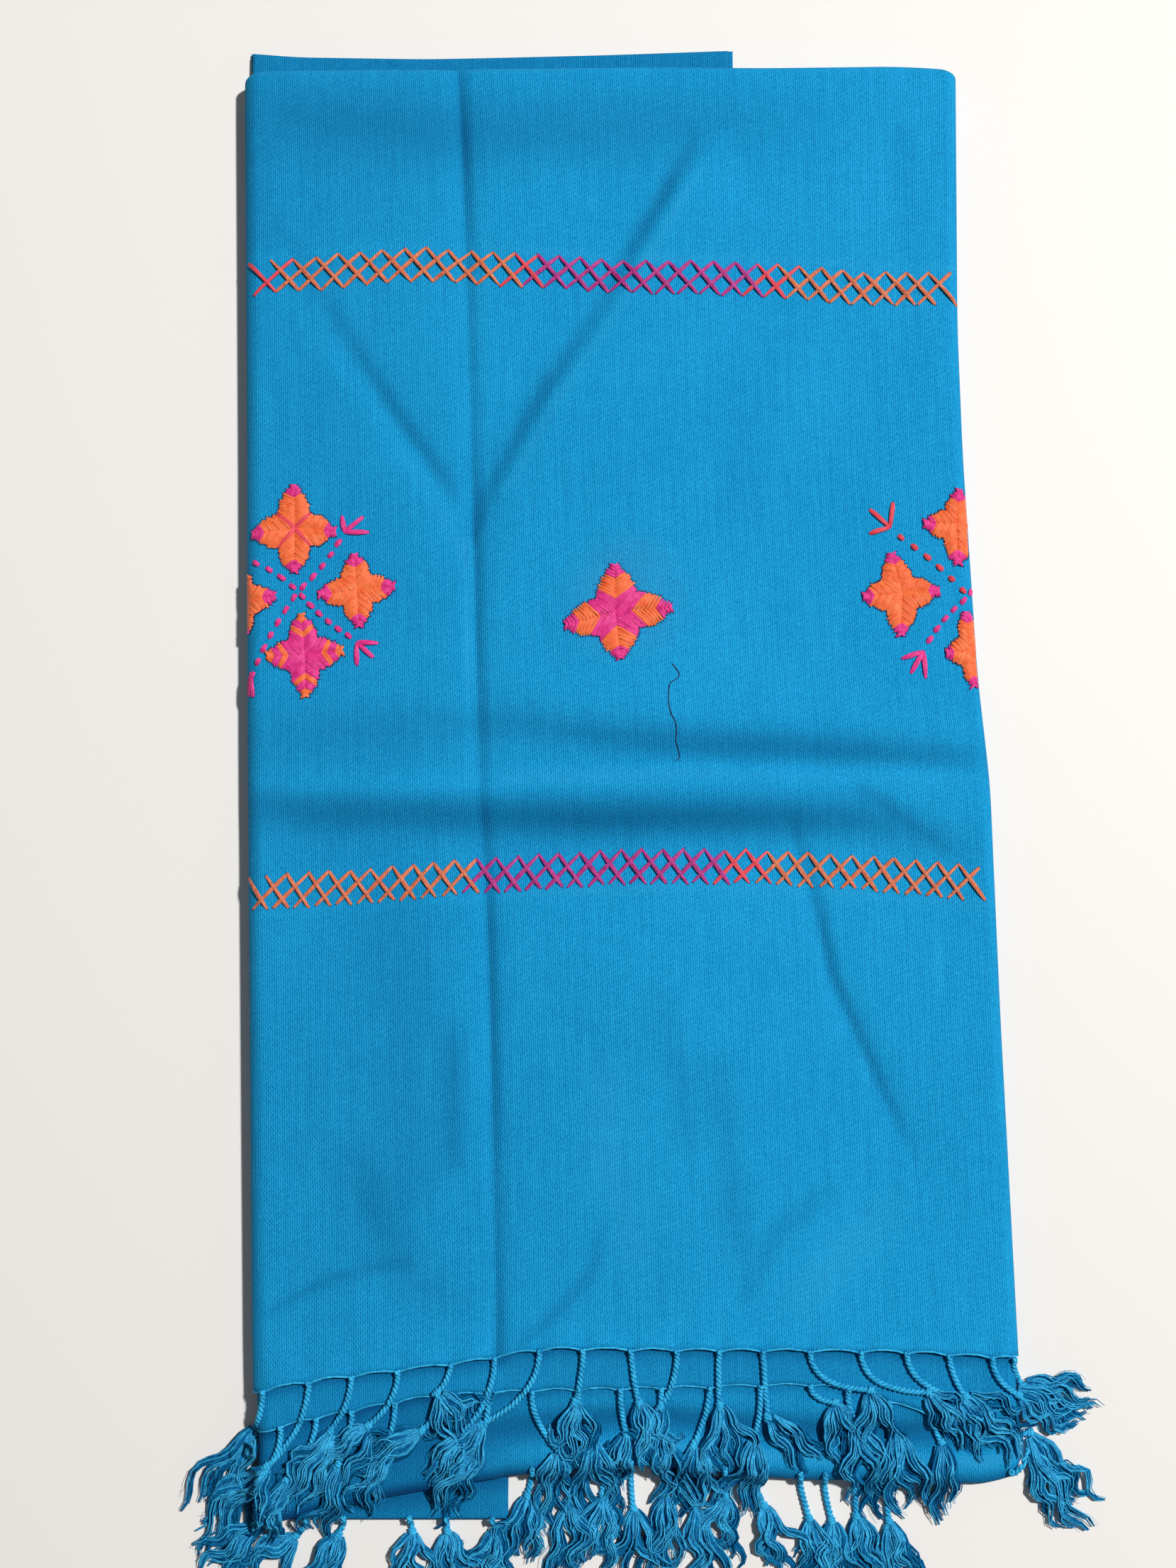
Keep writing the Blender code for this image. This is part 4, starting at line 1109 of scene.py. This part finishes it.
def addHalfArm(centre, tip, neighbour, colors):
    # stitches from an arm's middle line out to its edge on one side
    look = starStitches
    corner = centre + ((tip - centre) + (neighbour - centre)) * 0.5 * look["notch"]
    outward = (corner - centre) - (corner - centre).project(tip - centre)
    belly = outward.normalized() * (tip - centre).length * look["belly"]
    for step in range(look["perArm"]):
        share = (step + 0.4) / look["perArm"] * look["reach"]
        start = centre.lerp(tip, share)
        end = corner.lerp(tip, share) + belly * sin(pi * share)
        short = max(look["shortest"] - (end - start).length, 0.0)
        end += (end - start).normalized() * (short + stitchChance.uniform(-0.35, 0.75))
        start -= (end - start).normalized() * look["overlap"]
        ends = clipped(start, end)
        if not ends:
            continue
        color = next(found for until, found in colors if share <= until)
        lift = look["lift"] + 0.16 * sin(step * 2.1) + (look["redLift"] if color == "r" else 0)
        addStitch(color, *ends, look["width"], 3, lift, 5, ends=False)
        # past each outer stitch end a dark end as painted shadow round the star's edge
        if ends[1] == end:
            addEnd(end, Vector((0, 0)), (end - start).normalized() * look["endLong"], 0.25, 0.03, [1.0, 0.7])


for centre, tips, colors in stars:
    tips = [Vector(tip) for tip in tips]
    for index, tip in enumerate(tips):
        for neighbour in (tips[index - 1], tips[(index + 1) % 4]):
            addHalfArm(Vector(centre), tip, neighbour, colors)

# Running stitches between the stars, and the three-toed feet at their ends
runs = [
    ((-117.1, 76.8), (-99.5, 99), "m", 5), ((-117.1, 76.8), (-94.5, 57.5), "m", 6),
    ((-117.1, 76.8), (-137, 89.5), "m", 4), ((-117.1, 76.8), (-136.5, 40), "m", 7),
    ((154.4, 75.4), (124.5, 101.5), "r", 6), ((154.4, 75.4), (137, 55.5), "m", 5),
    ((154.4, 75.4), (157.2, 88), "m", 3),
]
for start, end, color, count in runs:
    first, last = Vector(start), Vector(end)
    way = (last - first).normalized()
    for step in range(count):
        share = (step + 0.5) / count
        middle = first.lerp(last, share) + Vector((way.y, -way.x)) * (1.3 * sin(pi * share))
        half = way * stitchChance.uniform(1.4, 1.85)
        ends = clipped(middle - half, middle + half)
        if ends:
            addStitch(color, *ends, *floss["run"], 5, ends=False)

feet = [
    ((-98.4, 100.9), [(-99.6, 107.6), (-91, 107.3), (-88.6, 100.9)], "m"),
    ((-93.2, 56.1), [(-84.6, 55.8), (-86.5, 50), (-93.1, 46.8)], "m"),
    ((122.8, 103.8), [(114.6, 111.1), (124.1, 114), (114.5, 101.2)], "r"),
    ((135.8, 52.9), [(126.9, 50), (130.5, 44), (136.5, 42)], "m"),
    ((-136.2, 44.3), [(-137.0, 34.5), (-135.0, 34.2)], "m"),
]
for heel, toes, color in feet:
    for toe in toes:
        addStitch(color, heel, toe, *floss["foot"])

# One stray end of dark blue sewing thread, below the middle star
strayLine = [(33.9, 47.4), (35.4, 45.6), (36.7, 43.7), (36.6, 42.2), (35.6, 41.1), (33.6, 40.1), (32.7, 38.8),
             (32.4, 35.5), (32.4, 31.6), (32.8, 29.0), (33.6, 26.7), (34.8, 24.4), (35.5, 21.9), (35.5, 19.2),
             (35.2, 16.4), (36.1, 13.4), (36.9, 10.4), (36.5, 9.2), (35.5, 8.4)]
strayThread = newThreads("strayThread", [darkThreadAndShadow], 0.20, 1)
addThread(strayThread, [onCloth(x, y, 0.28) for x, y in strayLine])
print("embroidery made")

# Plain pale floor, soft key light from the right, and the picture's own camera
floorMesh = bmesh.new()
bmesh.ops.create_grid(floorMesh, x_segments=1, y_segments=1, size=6.0)
floorData = bpy.data.meshes.new("floor")
floorMesh.to_mesh(floorData)
floorMesh.free()
floorMaterial, floorShader, _ = newMaterial("pale floor", 0.55, 0.3)
floorShader.inputs["Base Color"].default_value = (0.86, 0.83, 0.79, 1.0)
floorData.materials.append(floorMaterial)
addObject("floor", floorData)

light = {"lean": 29, "turn": 32, "distance": 4.0, "size": 0.26, "power": 166, "fill": 0.125}
keyData = bpy.data.lights.new("key", "AREA")
keyData.shape = "DISK"
keyData.size = light["size"]
keyData.energy = light["power"]
key = addObject("key", keyData)
lean, turn = radians(light["lean"]), radians(light["turn"])
toLight = Vector((sin(lean) * cos(turn), sin(lean) * sin(turn), cos(lean)))
key.location = place(0, 0, 0) + toLight * light["distance"]
key.rotation_euler = toLight.to_track_quat("Z", "Y").to_euler()

world = bpy.data.worlds.new("studio")
world.use_nodes = True
background = world.node_tree.nodes["Background"]
background.inputs["Color"].default_value = (1.0, 0.95, 0.92, 1.0)
background.inputs["Strength"].default_value = light["fill"]
scene = bpy.context.scene
scene.world = world
scene.view_settings.view_transform = "Standard"

camera = {"tilt": 4.0, "distance": 0.8902, "lens": 50.0, "sensor": 36.0}
cameraData = bpy.data.cameras.new("camera")
cameraData.lens = camera["lens"]
cameraData.sensor_width = camera["sensor"]
cameraData.clip_start = 0.01
tilt = radians(camera["tilt"])
scene.camera = addObject("camera", cameraData)
scene.camera.location = place(0, 0, 0) + Vector((0, -sin(tilt), cos(tilt))) * camera["distance"]
scene.camera.rotation_euler = (tilt, 0, 0)
print("floor, light and camera set")
